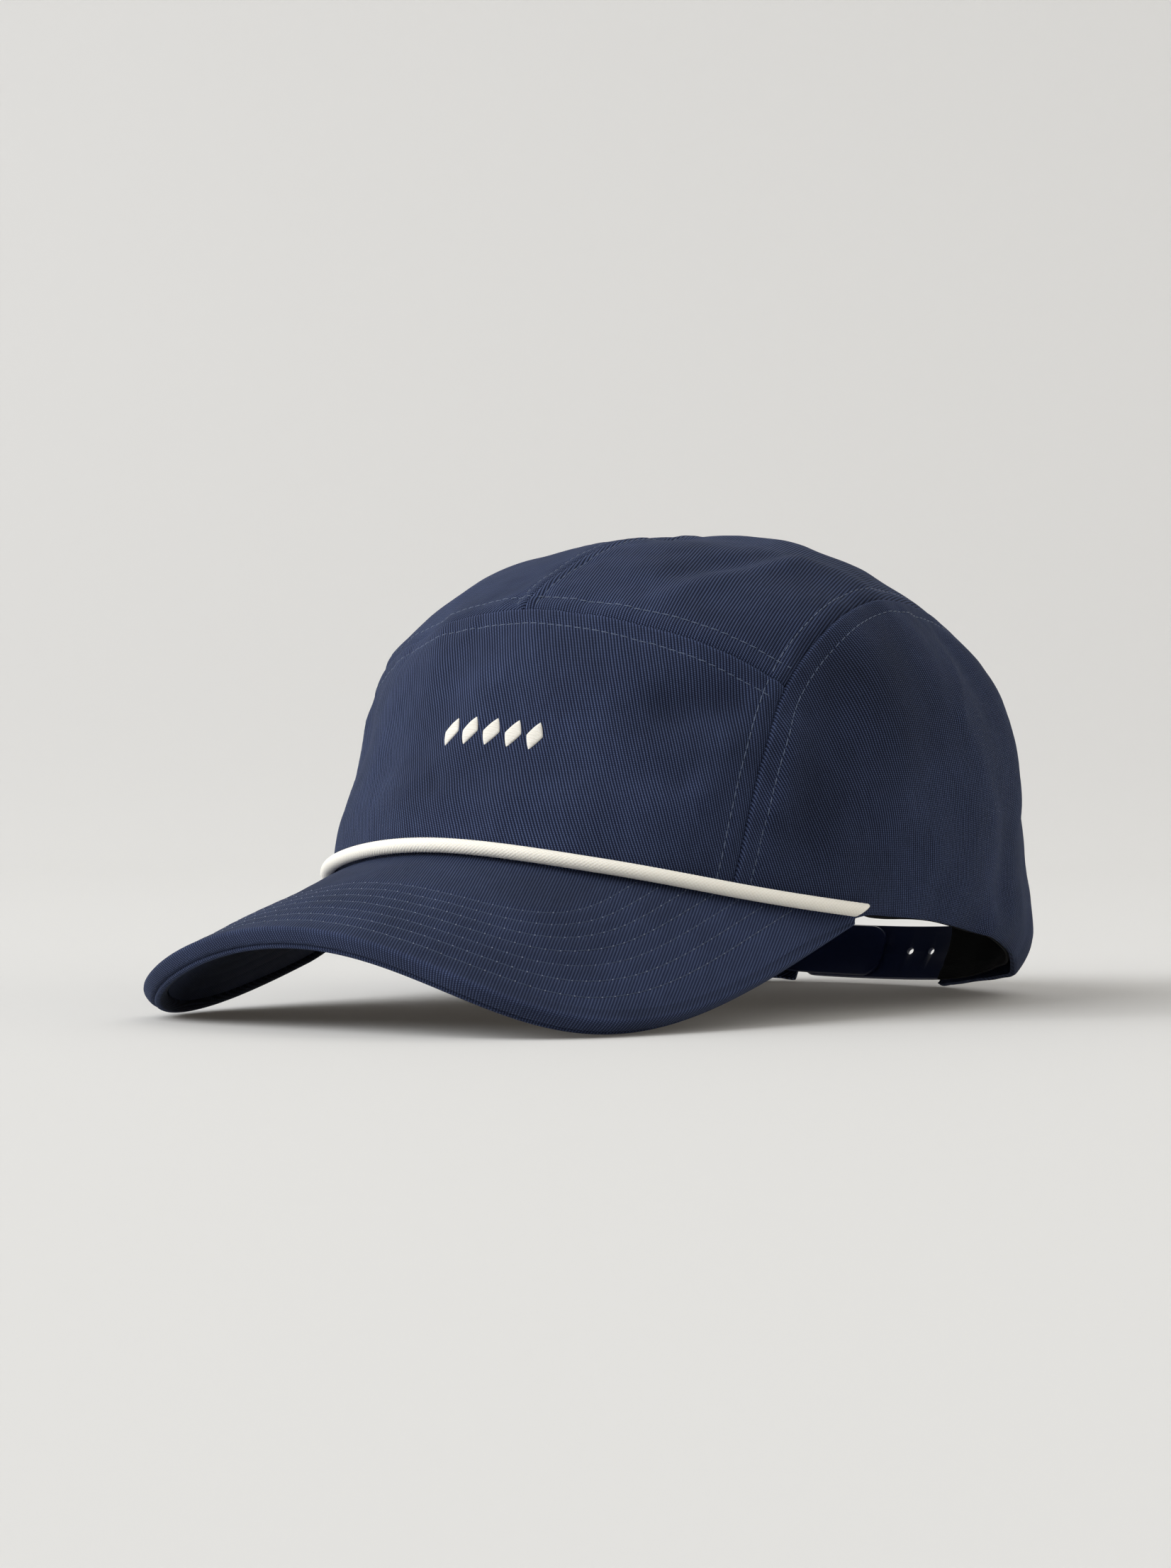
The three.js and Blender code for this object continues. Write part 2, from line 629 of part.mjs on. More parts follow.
add("front_panel", panelWall(frontEdges, 20, 8, false), navy);
for (const [side, flip] of [["left", false], ["right", true]]) {
  add(`side_panel_${side}`, panelWall(sideEdges, 28, 9, flip), navy);
  add(`top_panel_${side}`, panelWall(topEdges, 10, 22, flip), navy);
}
add("brim_upper", brimUpper(), navy);
add("brim_under", brimUnder(), underNavy);
add("rope", rope(), cream);
add("sweatband", sweatband(), black);
add("strap_with_holes", holeStrap(), plastic);
add("strap_with_pegs", pegStrap(), plastic);

const whole = new THREE.Group();
whole.add(cap);
export default whole;
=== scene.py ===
# The looks of a five-panel rope cap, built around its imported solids.
# Sizes are millimetres in the crown's own frame, level on its base. A piece is turned into the row frame,
# in metres, when its mesh is made. The front is -Y, the wearer's left is +X and up is +Z.
import math

import bpy
import numpy as np
from mathutils import Matrix


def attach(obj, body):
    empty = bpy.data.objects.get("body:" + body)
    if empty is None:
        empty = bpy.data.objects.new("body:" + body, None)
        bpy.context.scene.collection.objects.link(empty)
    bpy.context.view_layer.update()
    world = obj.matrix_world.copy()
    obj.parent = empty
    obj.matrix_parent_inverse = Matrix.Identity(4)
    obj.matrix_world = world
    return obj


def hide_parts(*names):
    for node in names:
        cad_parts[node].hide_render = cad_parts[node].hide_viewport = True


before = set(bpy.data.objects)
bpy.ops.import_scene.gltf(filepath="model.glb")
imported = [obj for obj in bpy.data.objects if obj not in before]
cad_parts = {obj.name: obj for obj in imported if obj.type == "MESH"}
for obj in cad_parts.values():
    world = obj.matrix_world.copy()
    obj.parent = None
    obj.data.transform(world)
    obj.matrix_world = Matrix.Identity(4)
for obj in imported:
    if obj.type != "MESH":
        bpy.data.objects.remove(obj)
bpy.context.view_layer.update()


def table(columns, *rows):
    """Rows of values as dictionaries with the columns' names."""
    return [dict(zip(columns.split(), row)) for row in rows]


# Driving sizes, the same as the solids'
MM = 0.001
TIP = math.radians(11.5)
BASE_MIDDLE = (21.4, 21.9)
WALL = 1.3
SQUARENESS = {"front": 1.94, "back": 2.3, "round": 2.0, "fade_from": 50}
CROWN = {
    "rise": [0, 7, 16, 28, 42, 56, 72, 90],
    "front": [99.8, 98.4, 96.2, 98.7, 102.3, 101.5, 101.9, 104.0],
    "side": [80.4, 83.4, 87.3, 95.4, 103.6, 105.8, 105.3, 104.0],
    "back": [108.2, 113.0, 110.0, 106.0, 103.1, 102.2, 103.2, 104.0],
}
HEM = {
    "turn": [0, 25, 50, 72, 95, 125, 150, 166, 180],
    "height": [-0.8, -2.3, -2.9, -1.1, 2.3, 2.3, -0.4, -1.1, -0.6],
}
# Each fold runs from one turn and rise to another. It sinks by its depth and fades over its width.
FOLDS = table(
    "name from to width depth",
    ("crease behind the left side", (102, 48), (117, 9), 7, 1.1),
    ("ridge beside that crease", (111, 46), (125, 10), 8, -0.8),
    ("roll above the left hem", (114, 3), (150, 4), 8, -2.8),
    ("roll above the right hem", (-114, 3), (-150, 4), 8, -2.8),
    ("dent over the rope's left end", (72, 8), (80, 5), 7, 0.9),
    ("dent over the rope's right end", (-72, 8), (-80, 5), 7, 0.9),
    ("dimple in the left of the top", (48, 62), (70, 66), 12, 0.9),
    ("fold at the front's right edge", (-38, 10), (-40, 27), 7, 0.8),
)
# Shallow ones that only the cloth shows. The cloth is also painted darker in their hollows and lighter on
# their swells, as painted shade and painted light.
SOFT_FOLDS = table(
    "name from to width depth",
    ("hollow beside the front's left seam", (33, 26), (42, 28), 7, 2.8),
    ("swell below that hollow", (43, 21), (40, 13), 5, -0.9),
    ("hollow across the front", (-4, 11.5), (34, 14.5), 5, 0.9),
    ("ridge beside the side seam", (54, 25), (52.5, 13), 4.5, -1.3),
    ("hollow behind that ridge", (63, 35), (58, 10), 8, 1.7),
    ("swell low on the left side", (71, 18), (89, 14), 8, -0.9),
    ("hollow high on the left side", (78, 40), (84, 30), 9, 1.3),
    ("thin ridge down the left side", (99, 49), (94, 34), 3.2, -0.55),
    ("lower part of that ridge", (94, 34), (107, 21), 3.6, -0.5),
    ("streak across the top", (29, 46), (64, 61), 4.5, -1.2),
    ("hollow above that streak", (31, 54), (54, 63), 5, 1.3),
    ("swell where top and side meet", (72, 61), (79, 55), 5, -0.4),
    ("hollow over the front's seam", (14, 52), (24, 47), 6, 0.4),
    ("hollow down the right side", (-60, 36), (-58, 10), 8, 0.7),
    ("ridge down the right side", (-97, 49), (-104, 20), 4, -0.5),
    ("streak across the top's right", (-32, 48), (-60, 60), 5, -0.5),
)
# Painted shade: where the cloth's colour is darkened to stand for the weaker light on the side and the top
PAINTED_SHADES = table(
    "name at width tone",
    ("upper half of the side", (70, 38), 25, -1.05),
    ("lower half of the side", (66, 14), 21, -0.75),
    ("back half of the side", (106, 32), 22, -0.5),
    ("middle of the top", (60, 62), 20, -0.3),
)
FRONT_CORNER = 45.7
JUNCTION = {"turn": 52, "rise": 32, "along": 51}
FRONT_SEAM = {"turn": [0, 12, 21, 29, 36, 44, 52], "rise": [41.0, 40.4, 39.4, 38.1, 36.7, 34.8, 32.0]}
ARCH = {"half_width": 25.5, "height": 40, "shoulder": 38, "away": 110}
SIDE_CORNER_ALONG = 64
BRIM = {
    "bend_radius": 96.8, "slope": math.radians(28.9), "root_height": 0.8, "half_width": 90.3, "reach": 59.8,
    "shoulder": -68.3, "squareness": 3.9, "end_turn": 71, "end_angle": 4.6, "upper": 3.0, "under": 4.4,
    "tuck": 3.2, "clear": 0.45, "end_thin": 0.3, "end_share": 0.1, "full_span": 14, "lining_in": 5.2,
    "lining_gap": 0.3,
}
# The rolled edge in section: distance in from the outline, and height over the brim's upper face.
ROLL = {
    "inward": [4.6, 3.4, 2.4, 1.7, 1.15, 0.7, 0.35, 0.12, 0.02, 0.0, 0.06, 0.25, 0.62, 1.0, 0.85, 0.6, 0.55,
               0.75, 1.2, 1.9, 2.8, 3.8, 4.6, 5.1],
    "proud": [0.0, 0.02, 0.06, 0.13, 0.14, 0.02, -0.35, -0.9, -1.6, -2.3, -3.0, -3.55, -3.85, -4.05, -4.25,
              -4.5, -4.8, -5.15, -5.4, -5.55, -5.5, -5.2, -4.6, -3.6],
    "tucked_from": 19,
}
ROPE = {"radius": 1.85, "clear": 0.25, "raised": 0.75, "end_turn": 71.2, "tip": 1.0, "slant": 3.0,
        "slant_over": 5.0, "strands": 12, "lead": 12.6, "groove": 0.2, "steps": 1250, "sides": 60}
BAND = {"height": 30, "wall": 1.2, "face": 0.35, "lift": 0.6, "clear": 0.7, "end_turn": 165.5, "wavy": 0.35,
        "tack": 0.3, "tack_height": 4, "edge": 0.3}
BAND_ROOM = {"turn": 150, "per_layer": 3, "fade": 8}
STRAP = {"low": 0.3, "width": 17, "wall": 1.2, "pitch": 7.8, "hole": 1.12, "away": 106, "clear": 0.3,
         "corner": 4.5, "rim": 0.28, "cuts": 30, "blind_drill": -3.1}
HOLE_STRAP = {"from": 36, "to": -24, "depth": WALL + STRAP["clear"], "first": 18, "holes": 6, "blind": 2}
PEG_STRAP = {"from": -36, "to": 1.5, "depth": WALL + 2 * STRAP["clear"] + STRAP["wall"], "pegs": 3}
# A snap in section: a waist and a domed head.
PEG = {"sunk": 0.4, "out": [0.0, 1.6, 1.9, 2.3, 2.9, 3.3, 3.45],
       "radius": [1.0, 0.95, 0.95, 1.25, 1.4, 0.95, 0.3]}
STITCH = {"pitch": 2.6, "length": 2.3, "radius": 0.125, "row": 4.9, "centre_row": 3.0, "arch_row": 4.5,
          "slant": 0.06}
BRIM_STITCH = {"pitch": 3.7, "length": 3.45, "radius": 0.09, "knot_length": 0.4, "knot_radius": 0.12}
BRIM_ROWS = {"count": 7, "apex": 24.4, "apex_step": 4.75, "half_width": 50.3, "width_step": 4.8,
             "middle": -13.0, "middle_step": -2.2, "squareness": 3.6, "tail": -75,
             "inner_room": 1.5, "outer_room": 4.0}
MOTIF = {"from": -10.0, "to": 21.0, "height": 32.0, "tall": 8.0, "wide": 4.6, "lean": 0.2, "proud": 0.55,
         "thread": 0.36, "pieces": 5, "ahead": 90.0, "sunk": -0.35}
# Beside a seam one edge stands up and the other lies flat, with a groove between and a channel at the row.
SEAM = {"edge": 0.3, "flat_edge": -0.22, "edge_width": 1.9, "groove": 0.65, "flat_groove": 0.3,
        "groove_width": 0.36, "puff": 0.2, "channel": 0.2, "channel_width": 0.5, "pucker": 0.1,
        "pucker_width": 5.0}
# Waves whose sum makes the cloth uneven, and how high they are on crown and brim
WAVES = table(
    "name count size spread",
    ("broad", 9, 46, 0.4),
    ("middle", 11, 19, 0.4),
    ("small", 13, 6, 0.35),
    ("pucker", 13, 8, 0.35),
)
RIPPLE = {"broad": 0.4, "middle": 0.17, "small": 0.028}
BRIM_RIPPLE = {"broad": 0.09, "middle": 0.035, "small": 0.02}
BRIM_CHANNEL = {"depth": 0.16, "width": 0.45, "swell": 0.08}
# The panels' grid lines are close beside a seam, and further apart away from it.
SPACING = {"away": [0, 1.4, 3, 6.5, 12], "step": [0.26, 0.3, 0.5, 0.6, 1.25]}
# How far the brim's turned-under cloth is painted darker, as painted shade.
TUCKED_PAINTED_SHADE = -2.3
# The twill on each panel: the middle of its flat map, the lean of its ribs there and their pitch.
TWILL = {
    "front": {"turn": 0, "rise": 18, "lean": 118, "pitch": 0.78},
    "side": {"turn": 88, "rise": 25, "lean": 112, "pitch": 0.82},
    "top": {"turn": 40, "rise": 62, "lean": 71, "pitch": 0.77},
    "brim": {"lean": 66, "pitch": 0.73},
    "lining": {"lean": 114, "pitch": 0.8},
}

LIGHTS = table(
    "name azimuth elevation size power",
    ("key_softbox", -25, 40, 3.8, 152),
    ("left_softbox", -50, 20, 2.4, 112),
)
LIGHT_AWAY = 4.5
AIR = {"toward": (0.80, 0.40, 0.45), "from": -0.25, "to": 1.0, "strength": 0.88,
       "colour": (1.0, 0.975, 0.93, 1)}
FLOOR = {"front": -6.0, "flat": 1.35, "bend": 0.9, "top": 5.0, "half_width": 7.0, "painted_glow": 0.04,
         "fade_up": 0.06, "low": (0.685, 0.686, 0.679, 1), "high": (0.612, 0.611, 0.606, 1),
         "pale_right": 0.11, "pale_back": 0.03}
CAMERA = {"azimuth": 36.5, "elevation": 0.22, "distance": 1014.0, "aside": -21.05, "height": 58.1,
          "lens": 87.13}


# Camera
def turned_to(azimuth, elevation):
    """The ways right, up and back of something that looks at the cap from an azimuth and an elevation."""
    a, e = math.radians(azimuth), math.radians(elevation)
    back = np.array([math.sin(a) * math.cos(e), -math.cos(a) * math.cos(e), math.sin(e)])
    right = np.array([math.cos(a), math.sin(a), 0.0])
    return right, np.cross(back, right), back


def standing(place, ways):
    return Matrix.Translation(place) @ Matrix(np.stack(ways, 1).tolist()).to_4x4()


def add_camera():
    right, up, back = turned_to(CAMERA["azimuth"], CAMERA["elevation"])
    middle = np.array([0, BASE_MIDDLE[0], CAMERA["height"]])
    place = middle + right * CAMERA["aside"] + back * CAMERA["distance"]
    bpy.ops.object.camera_add()
    camera = bpy.context.object
    camera.data.lens = CAMERA["lens"]
    camera.data.sensor_width = 36
    camera.data.clip_end = 50
    camera.matrix_world = standing(place * MM, (right, up, back))
    bpy.context.scene.camera = camera


add_camera()


# Shape of the crown
def smooth(table, key, column, at, flat_start=False, flat_end=False):
    """A smooth curve through one column of a table, flat at the ends that are asked for."""
    x = np.array(table[key], float)
    y = np.array(table[column], float)
    chord = np.diff(y) / np.diff(x)
    gap = np.diff(x)
    slope = np.concatenate([[0 if flat_start else chord[0]],
                            (chord[:-1] * gap[1:] + chord[1:] * gap[:-1]) / (gap[:-1] + gap[1:]),
                            [0 if flat_end else chord[-1]]])
    at = np.asarray(at, float)
    i = np.clip(np.searchsorted(x, at, side="left") - 1, 0, len(x) - 2)
    t = (at - x[i]) / gap[i]
    return ((2 * t**3 - 3 * t**2 + 1) * y[i] + (t**3 - 2 * t**2 + t) * gap[i] * slope[i]
            + (3 * t**2 - 2 * t**3) * y[i + 1] + (t**3 - t**2) * gap[i] * slope[i + 1])


def step_between(x, low, high):
    t = np.clip((x - low) / (high - low), 0, 1)
    return t * t * (3 - 2 * t)


def unit(v):
    return v / np.linalg.norm(v, axis=-1, keepdims=True)


def direction(turn, rise):
    t, r = np.radians(turn), np.radians(rise)
    t, r = np.broadcast_arrays(t, r)
    return np.stack([np.sin(t) * np.cos(r), -np.cos(t) * np.cos(r), np.sin(r)], -1)


def turn_of(d):
    return np.degrees(np.arctan2(d[..., 0], -d[..., 1]))


def rise_of(d):
    return np.degrees(np.arcsin(np.clip(d[..., 2] / np.linalg.norm(d, axis=-1), -1, 1)))


def fold_depth(d, folds):
    """How far the folds push the cloth in at each direction."""
    depth = np.zeros(d.shape[:-1])
    for fold in folds:
        start, end = direction(*fold["from"]), direction(*fold["to"])
        t = np.clip(((d - start) @ (end - start)) / ((end - start) @ (end - start)), 0, 1)
        away = np.linalg.norm(d - start - t[..., None] * (end - start), axis=-1) * 100 / fold["width"]
        depth += fold["depth"] * np.exp(-away * away)
    return depth


def crown_point(d):
    """The outer face of the crown in a direction from the middle of its base."""
    rise = rise_of(d)
    turn = np.radians(turn_of(d))
    ahead = np.cos(turn)
    front_back = np.where(ahead > 0, smooth(CROWN, "rise", "front", rise, flat_end=True),
                          smooth(CROWN, "rise", "back", rise, flat_end=True))
    side = smooth(CROWN, "rise", "side", rise, flat_end=True)
    low = np.where(ahead > 0, SQUARENESS["front"], SQUARENESS["back"])
    n = low + (SQUARENESS["round"] - low) * step_between(rise, SQUARENESS["fade_from"], 90)
    total = (np.abs(ahead) / front_back) ** n + (np.abs(np.sin(turn)) / side) ** n
    return d * (total ** (-1 / n) - fold_depth(d, FOLDS))[..., None]


def crown_normal(d):
    reach = 0.01
    across = np.cross([0, 0, 1.0], d)
    across = np.where(np.linalg.norm(across, axis=-1, keepdims=True) < 0.001, [1.0, 0, 0], across)
    across = unit(across)
    up = np.cross(d, across)

    def near(way, by):
        return crown_point(unit(d + way * by))

    return unit(np.cross(near(across, reach) - near(across, -reach), near(up, reach) - near(up, -reach)))


def wall_point(d, depth):
    return crown_point(d) - crown_normal(d) * np.asarray(depth)[..., None]


def at_height(turn, height):
    """The direction of the place on the crown at a turn and a height above the base."""
    turn, height = np.broadcast_arrays(np.asarray(turn, float), np.asarray(height, float))
    d = direction(turn, 0)
    for _ in range(6):
        d = direction(turn, np.degrees(np.arcsin(height / np.linalg.norm(crown_point(d), axis=-1))))
    return d


def sewn_height(turn):
    return smooth(HEM, "turn", "height", np.abs(turn), True, True)


def hem_height(turn):
    fade = step_between(np.abs(turn), BRIM["end_turn"] - 6, BRIM["end_turn"] + 5)
    return sewn_height(turn) - BRIM["tuck"] * (1 - fade)


def hem(turn):
    return at_height(turn, hem_height(turn))


def on_arch(angle):
    a = np.radians(np.asarray(angle, float))
    sideways, height = ARCH["half_width"] * np.cos(a), ARCH["height"] * np.sin(a)
    return unit(np.stack([sideways, np.sqrt(ARCH["away"] ** 2 - sideways**2 - height**2), height], -1))


foot_turn = float(turn_of(on_arch(0)))
foot_angle = math.degrees(math.asin(float(hem_height(foot_turn)) / ARCH["height"]))
shoulder = on_arch(ARCH["shoulder"])
SIDE_SEAM = {
    "along": [0, 31, 51, 64, 75, 86, 97, 112, 135, 155, 178, 204, 224, 239],
    "turn": [FRONT_CORNER, 48.7, 52, 56, 61, 67, 74, 87, 108, 125, 140, 153, 161.5,
             float(turn_of(shoulder))],
    "rise": [float(rise_of(hem(FRONT_CORNER))), 20.5, 32, 38, 42.8, 47, 50.4, 53.4, 54.6, 51.5, 43.5, 32.5,
             24, float(rise_of(shoulder))],
}
SEAM_END = SIDE_SEAM["along"][-1]


def side_seam(along):
    return direction(smooth(SIDE_SEAM, "along", "turn", along), smooth(SIDE_SEAM, "along", "rise", along))


def front_seam(turn):
    return direction(turn, smooth(FRONT_SEAM, "turn", "rise", np.abs(turn), flat_start=True))


def centre_seam(t):
    last = 180 - float(rise_of(on_arch(90)))
    return direction(0, FRONT_SEAM["rise"][0] + (last - FRONT_SEAM["rise"][0]) * np.asarray(t, float))


def mirrored(v):
    return v * np.array([-1.0, 1, 1])


# Meshes
def to_row(p):
    """Turns points of the crown's frame into the row frame, in metres."""
    c, s = math.cos(TIP), math.sin(TIP)
    x, y, z = p[..., 0], p[..., 1], p[..., 2]
    return np.stack([x, y * c + z * s + BASE_MIDDLE[0], z * c - y * s + BASE_MIDDLE[1]], -1) * MM


def deselect():
    bpy.ops.object.select_all(action="DESELECT")


def choose(piece):
    deselect()
    piece.select_set(True)
    bpy.context.view_layer.objects.active = piece


def edit_all(piece, operator, **settings):
    """Runs one edit-mode operator on the whole of a piece."""
    choose(piece)
    bpy.ops.object.mode_set(mode="EDIT")
    bpy.ops.mesh.select_all(action="SELECT")
    operator(**settings)
    bpy.ops.object.mode_set(mode="OBJECT")


def modify(piece, kind, **settings):
    """Adds a modifier with its settings and applies it."""
    choose(piece)
    made = piece.modifiers.new(kind.lower(), kind)
    for setting, value in settings.items():
        setattr(made, setting, value)
    bpy.ops.object.modifier_apply(modifier=made.name)


def bevel_edges(piece, width):
    modify(piece, "BEVEL", width=width, segments=2, limit_method="ANGLE", angle_limit=math.radians(50))


def join(pieces, name):
    choose(pieces[0])
    for piece in pieces:
        piece.select_set(True)
    bpy.ops.object.join()
    pieces[0].name = pieces[0].data.name = name
    return pieces[0]


def points_of(mesh):
    flat = np.empty(len(mesh.vertices) * 3, np.float32)
    mesh.vertices.foreach_get("co", flat)
    return flat.reshape(-1, 3)


def place_points(mesh, points):
    mesh.vertices.foreach_set("co", points.astype(np.float32).ravel())
    mesh.update()


grid_order = {}


def shaped_grid(name, points, ribs, marks=None):
    """A grid whose points take their places from a table, with the weave's map and named marks on it."""
    rows, columns = points.shape[0] - 1, points.shape[1] - 1
    deselect()
    bpy.ops.mesh.primitive_grid_add(x_subdivisions=columns, y_subdivisions=rows, size=2)
    piece = bpy.context.object
    piece.name = piece.data.name = name
    mesh = piece.data
    flat = points_of(mesh)
    column = np.rint((flat[:, 0] + 1) / 2 * columns).astype(int)
    row = np.rint((flat[:, 1] + 1) / 2 * rows).astype(int)
    grid_order[name] = (row, column)
    place_points(mesh, to_row(points[row, column]))
    corner = np.empty(len(mesh.loops), np.int32)
    mesh.loops.foreach_get("vertex_index", corner)
    mesh.uv_layers.active.name = "ribs"
    mesh.uv_layers.active.data.foreach_set("uv", ribs[row, column][corner].astype(np.float32).ravel())
    for mark, values in (marks or {}).items():
        attribute = mesh.attributes.new(mark, "FLOAT", "POINT")
        attribute.data.foreach_set("value", values[row, column].astype(np.float32))
    return piece


def closed_piece(name, sections, ribs, marks):
    """A grid rolled into a tube, whose first and last columns meet, with both ends closed."""
    piece = shaped_grid(name, sections, ribs, marks)
    edit_all(piece, bpy.ops.mesh.remove_doubles, threshold=2e-6)
    bpy.ops.object.mode_set(mode="EDIT")
    bpy.ops.mesh.select_all(action="DESELECT")
    bpy.ops.mesh.select_mode(type="EDGE")
    bpy.ops.mesh.select_non_manifold(extend=False)
    bpy.ops.mesh.edge_face_add()
    bpy.ops.mesh.select_mode(type="VERT")
    bpy.ops.object.mode_set(mode="OBJECT")
    return piece


def thicken(piece, wall, inner=None):
    """Thickens a grid inwards. A second table of points can place its inner face, so that panels meet."""
    outer_count = len(piece.data.vertices)
    modify(piece, "SOLIDIFY", thickness=wall * MM, offset=-1, use_even_offset=False)
    if inner is not None:
        points = points_of(piece.data)
        points[outer_count:] = to_row(inner[grid_order[piece.name]])
        place_points(piece.data, points)


def smooth_shade(piece, angle):
    choose(piece)
    bpy.ops.object.shade_smooth_by_angle(angle=math.radians(angle))


def finish_piece(piece, material, slot, *nodes):
    piece.data.materials.clear()
    piece.data.materials.append(material)
    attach(piece, "root")
    if nodes:
        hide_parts(*nodes)


# Materials
def new_material(name):
    material = bpy.data.materials.new(name)
    material.use_nodes = True
    tree = material.node_tree
    tree.nodes.clear()
    out = tree.nodes.new("ShaderNodeOutputMaterial")
    shader = tree.nodes.new("ShaderNodeBsdfPrincipled")
    tree.links.new(shader.outputs["BSDF"], out.inputs["Surface"])
    return material, tree, shader


def connect(tree, source, socket):
    if hasattr(source, "is_output"):
        tree.links.new(source, socket)
    else:
        socket.default_value = source


def math_node(tree, operation, *values, clamp=False):
    made = tree.nodes.new("ShaderNodeMath")
    made.operation = operation
    made.use_clamp = clamp
    for value, socket in zip(values, made.inputs):
        connect(tree, value, socket)
    return made.outputs[0]


def vector_node(tree, operation, vector):
    made = tree.nodes.new("ShaderNodeVectorMath")
    made.operation = operation
    connect(tree, vector, made.inputs[0])
    return made


def noise_node(tree, vector, scale, detail, roughness=0.5):
    made = tree.nodes.new("ShaderNodeTexNoise")
    connect(tree, vector, made.inputs["Vector"])
    made.inputs["Scale"].default_value = scale
    made.inputs["Detail"].default_value = detail
    made.inputs["Roughness"].default_value = roughness
    return made.outputs["Fac"]


def mix_colour(tree, share, a, b):
    made = tree.nodes.new("ShaderNodeMix")
    made.data_type = "RGBA"
    connect(tree, share, made.inputs[0])
    connect(tree, a, made.inputs[6])
    connect(tree, b, made.inputs[7])
    return made.outputs[2]


def set_surface(tree, shader, colour, height, depth, strength):
    """Gives a shader its colour, and a relief with a depth in millimetres."""
    connect(tree, colour, shader.inputs["Base Color"])
    relief = tree.nodes.new("ShaderNodeBump")
    relief.inputs["Distance"].default_value = depth * MM
    relief.inputs["Strength"].default_value = strength
    connect(tree, height, relief.inputs["Height"])
    connect(tree, relief.outputs["Normal"], shader.inputs["Normal"])


def scaled(tree, vector, factors):
    made = tree.nodes.new("ShaderNodeMapping")
    connect(tree, vector, made.inputs["Vector"])
    made.inputs["Scale"].default_value = factors
    return made.outputs["Vector"]


def times(tree, colour, factor):
    made = vector_node(tree, "SCALE", colour)
    connect(tree, factor, made.inputs["Scale"])
    return made.outputs[0]


def length_along(tree, place, way):
    made = vector_node(tree, "DOT_PRODUCT", place)
    made.inputs[1].default_value = way
    return made.outputs["Value"]


def wave(tree, x):
    """A wave between 0 and 1 that repeats at each whole number."""
    turned = math_node(tree, "MULTIPLY", x, 2 * math.pi)
    return math_node(tree, "MULTIPLY_ADD", math_node(tree, "COSINE", turned), 0.5, 0.5)


def rib_map(tree):
    made = tree.nodes.new("ShaderNodeUVMap")
    made.uv_map = "ribs"
    parts = tree.nodes.new("ShaderNodeSeparateXYZ")
    tree.links.new(made.outputs[0], parts.inputs[0])
    return made.outputs[0], parts.outputs[0], parts.outputs[1]


def mark_value(tree, name):
    made = tree.nodes.new("ShaderNodeAttribute")
    made.attribute_name = name
    return made.outputs["Fac"]


def object_place(tree):
    return tree.nodes.new("ShaderNodeTexCoord").outputs["Object"]


def set_cloth(shader, roughness, sheen, tint):
    shader.inputs["Roughness"].default_value = roughness
    shader.inputs["Specular IOR Level"].default_value = 0.13
    shader.inputs["Sheen Weight"].default_value = sheen
    shader.inputs["Sheen Roughness"].default_value = 0.45
    shader.inputs["Sheen Tint"].default_value = tint


def twill(name, valley, crest, contrast, sheen):
    """Ribbed twill: each whole number across the map is one rib, with its threads slanting over it."""
    material, tree, shader = new_material(name)
    place, across, along = rib_map(tree)
    wander = noise_node(tree, scaled(tree, place, (0.05, 0.03, 1)), 1.0, 3.0)
    rib = math_node(tree, "MULTIPLY_ADD", wander, 0.9, across)
    ridge = math_node(tree, "POWER", wave(tree, rib), 1.3)
    slant = math_node(tree, "MULTIPLY_ADD", along, 1.46, math_node(tree, "MULTIPLY", rib, 0.45))
    body = math_node(tree, "MULTIPLY_ADD", wave(tree, slant), 0.75, 0.25)
    height = math_node(tree, "MULTIPLY", ridge, body)
    fibre = noise_node(tree, scaled(tree, place, (3.0, 0.9, 1)), 1.6, 3.0, 0.65)
    streak = noise_node(tree, scaled(tree, place, (0.9, 0.07, 1)), 1.0, 3.0, 0.6)
    uneven = math_node(tree, "MULTIPLY_ADD", fibre, 0.8, 0.15)
    uneven = math_node(tree, "MULTIPLY_ADD", streak, 0.9, uneven)
    # The valleys are darker than the crests: partly the weave's own colour, partly painted shade between
    # the ribs.
    share = math_node(tree, "MULTIPLY", math_node(tree, "MULTIPLY", height, uneven), contrast, clamp=True)
    blotch = noise_node(tree, object_place(tree), 38.0, 4.0, 0.6)
    fade = math_node(tree, "ADD", blotch, 0.5)
    # The tone mark brings in painted shade and painted light, as well as the lighter seam edges.
    tone = math_node(tree, "MULTIPLY_ADD", mark_value(tree, "tone"), 0.35, 1.0)
    colour = times(tree, mix_colour(tree, share, valley, crest), math_node(tree, "MULTIPLY", fade, tone))
    set_surface(tree, shader, colour, height, 0.22, 1.0)
    set_cloth(shader, 0.85, sheen, (0.45, 0.6, 1.0, 1))
    return material


def plain_cloth(name, dark, light, pitch, sheen):
    """A fine plain weave on the piece's own map."""
    material, tree, shader = new_material(name)
    _, across, along = rib_map(tree)
    warp = wave(tree, math_node(tree, "MULTIPLY", across, pitch))
    weft = wave(tree, math_node(tree, "MULTIPLY", along, pitch))
    height = math_node(tree, "MULTIPLY", warp, weft)
    blotch = noise_node(tree, object_place(tree), 60.0, 4.0, 0.6)
    mottled = math_node(tree, "ADD", blotch, 0.3)
    share = math_node(tree, "MULTIPLY", math_node(tree, "ADD", height, 0.25), mottled, clamp=True)
    set_surface(tree, shader, mix_colour(tree, share, dark, light), height, 0.1, 0.5)
    set_cloth(shader, 0.9, sheen, (0.8, 0.85, 1, 1))
    return material


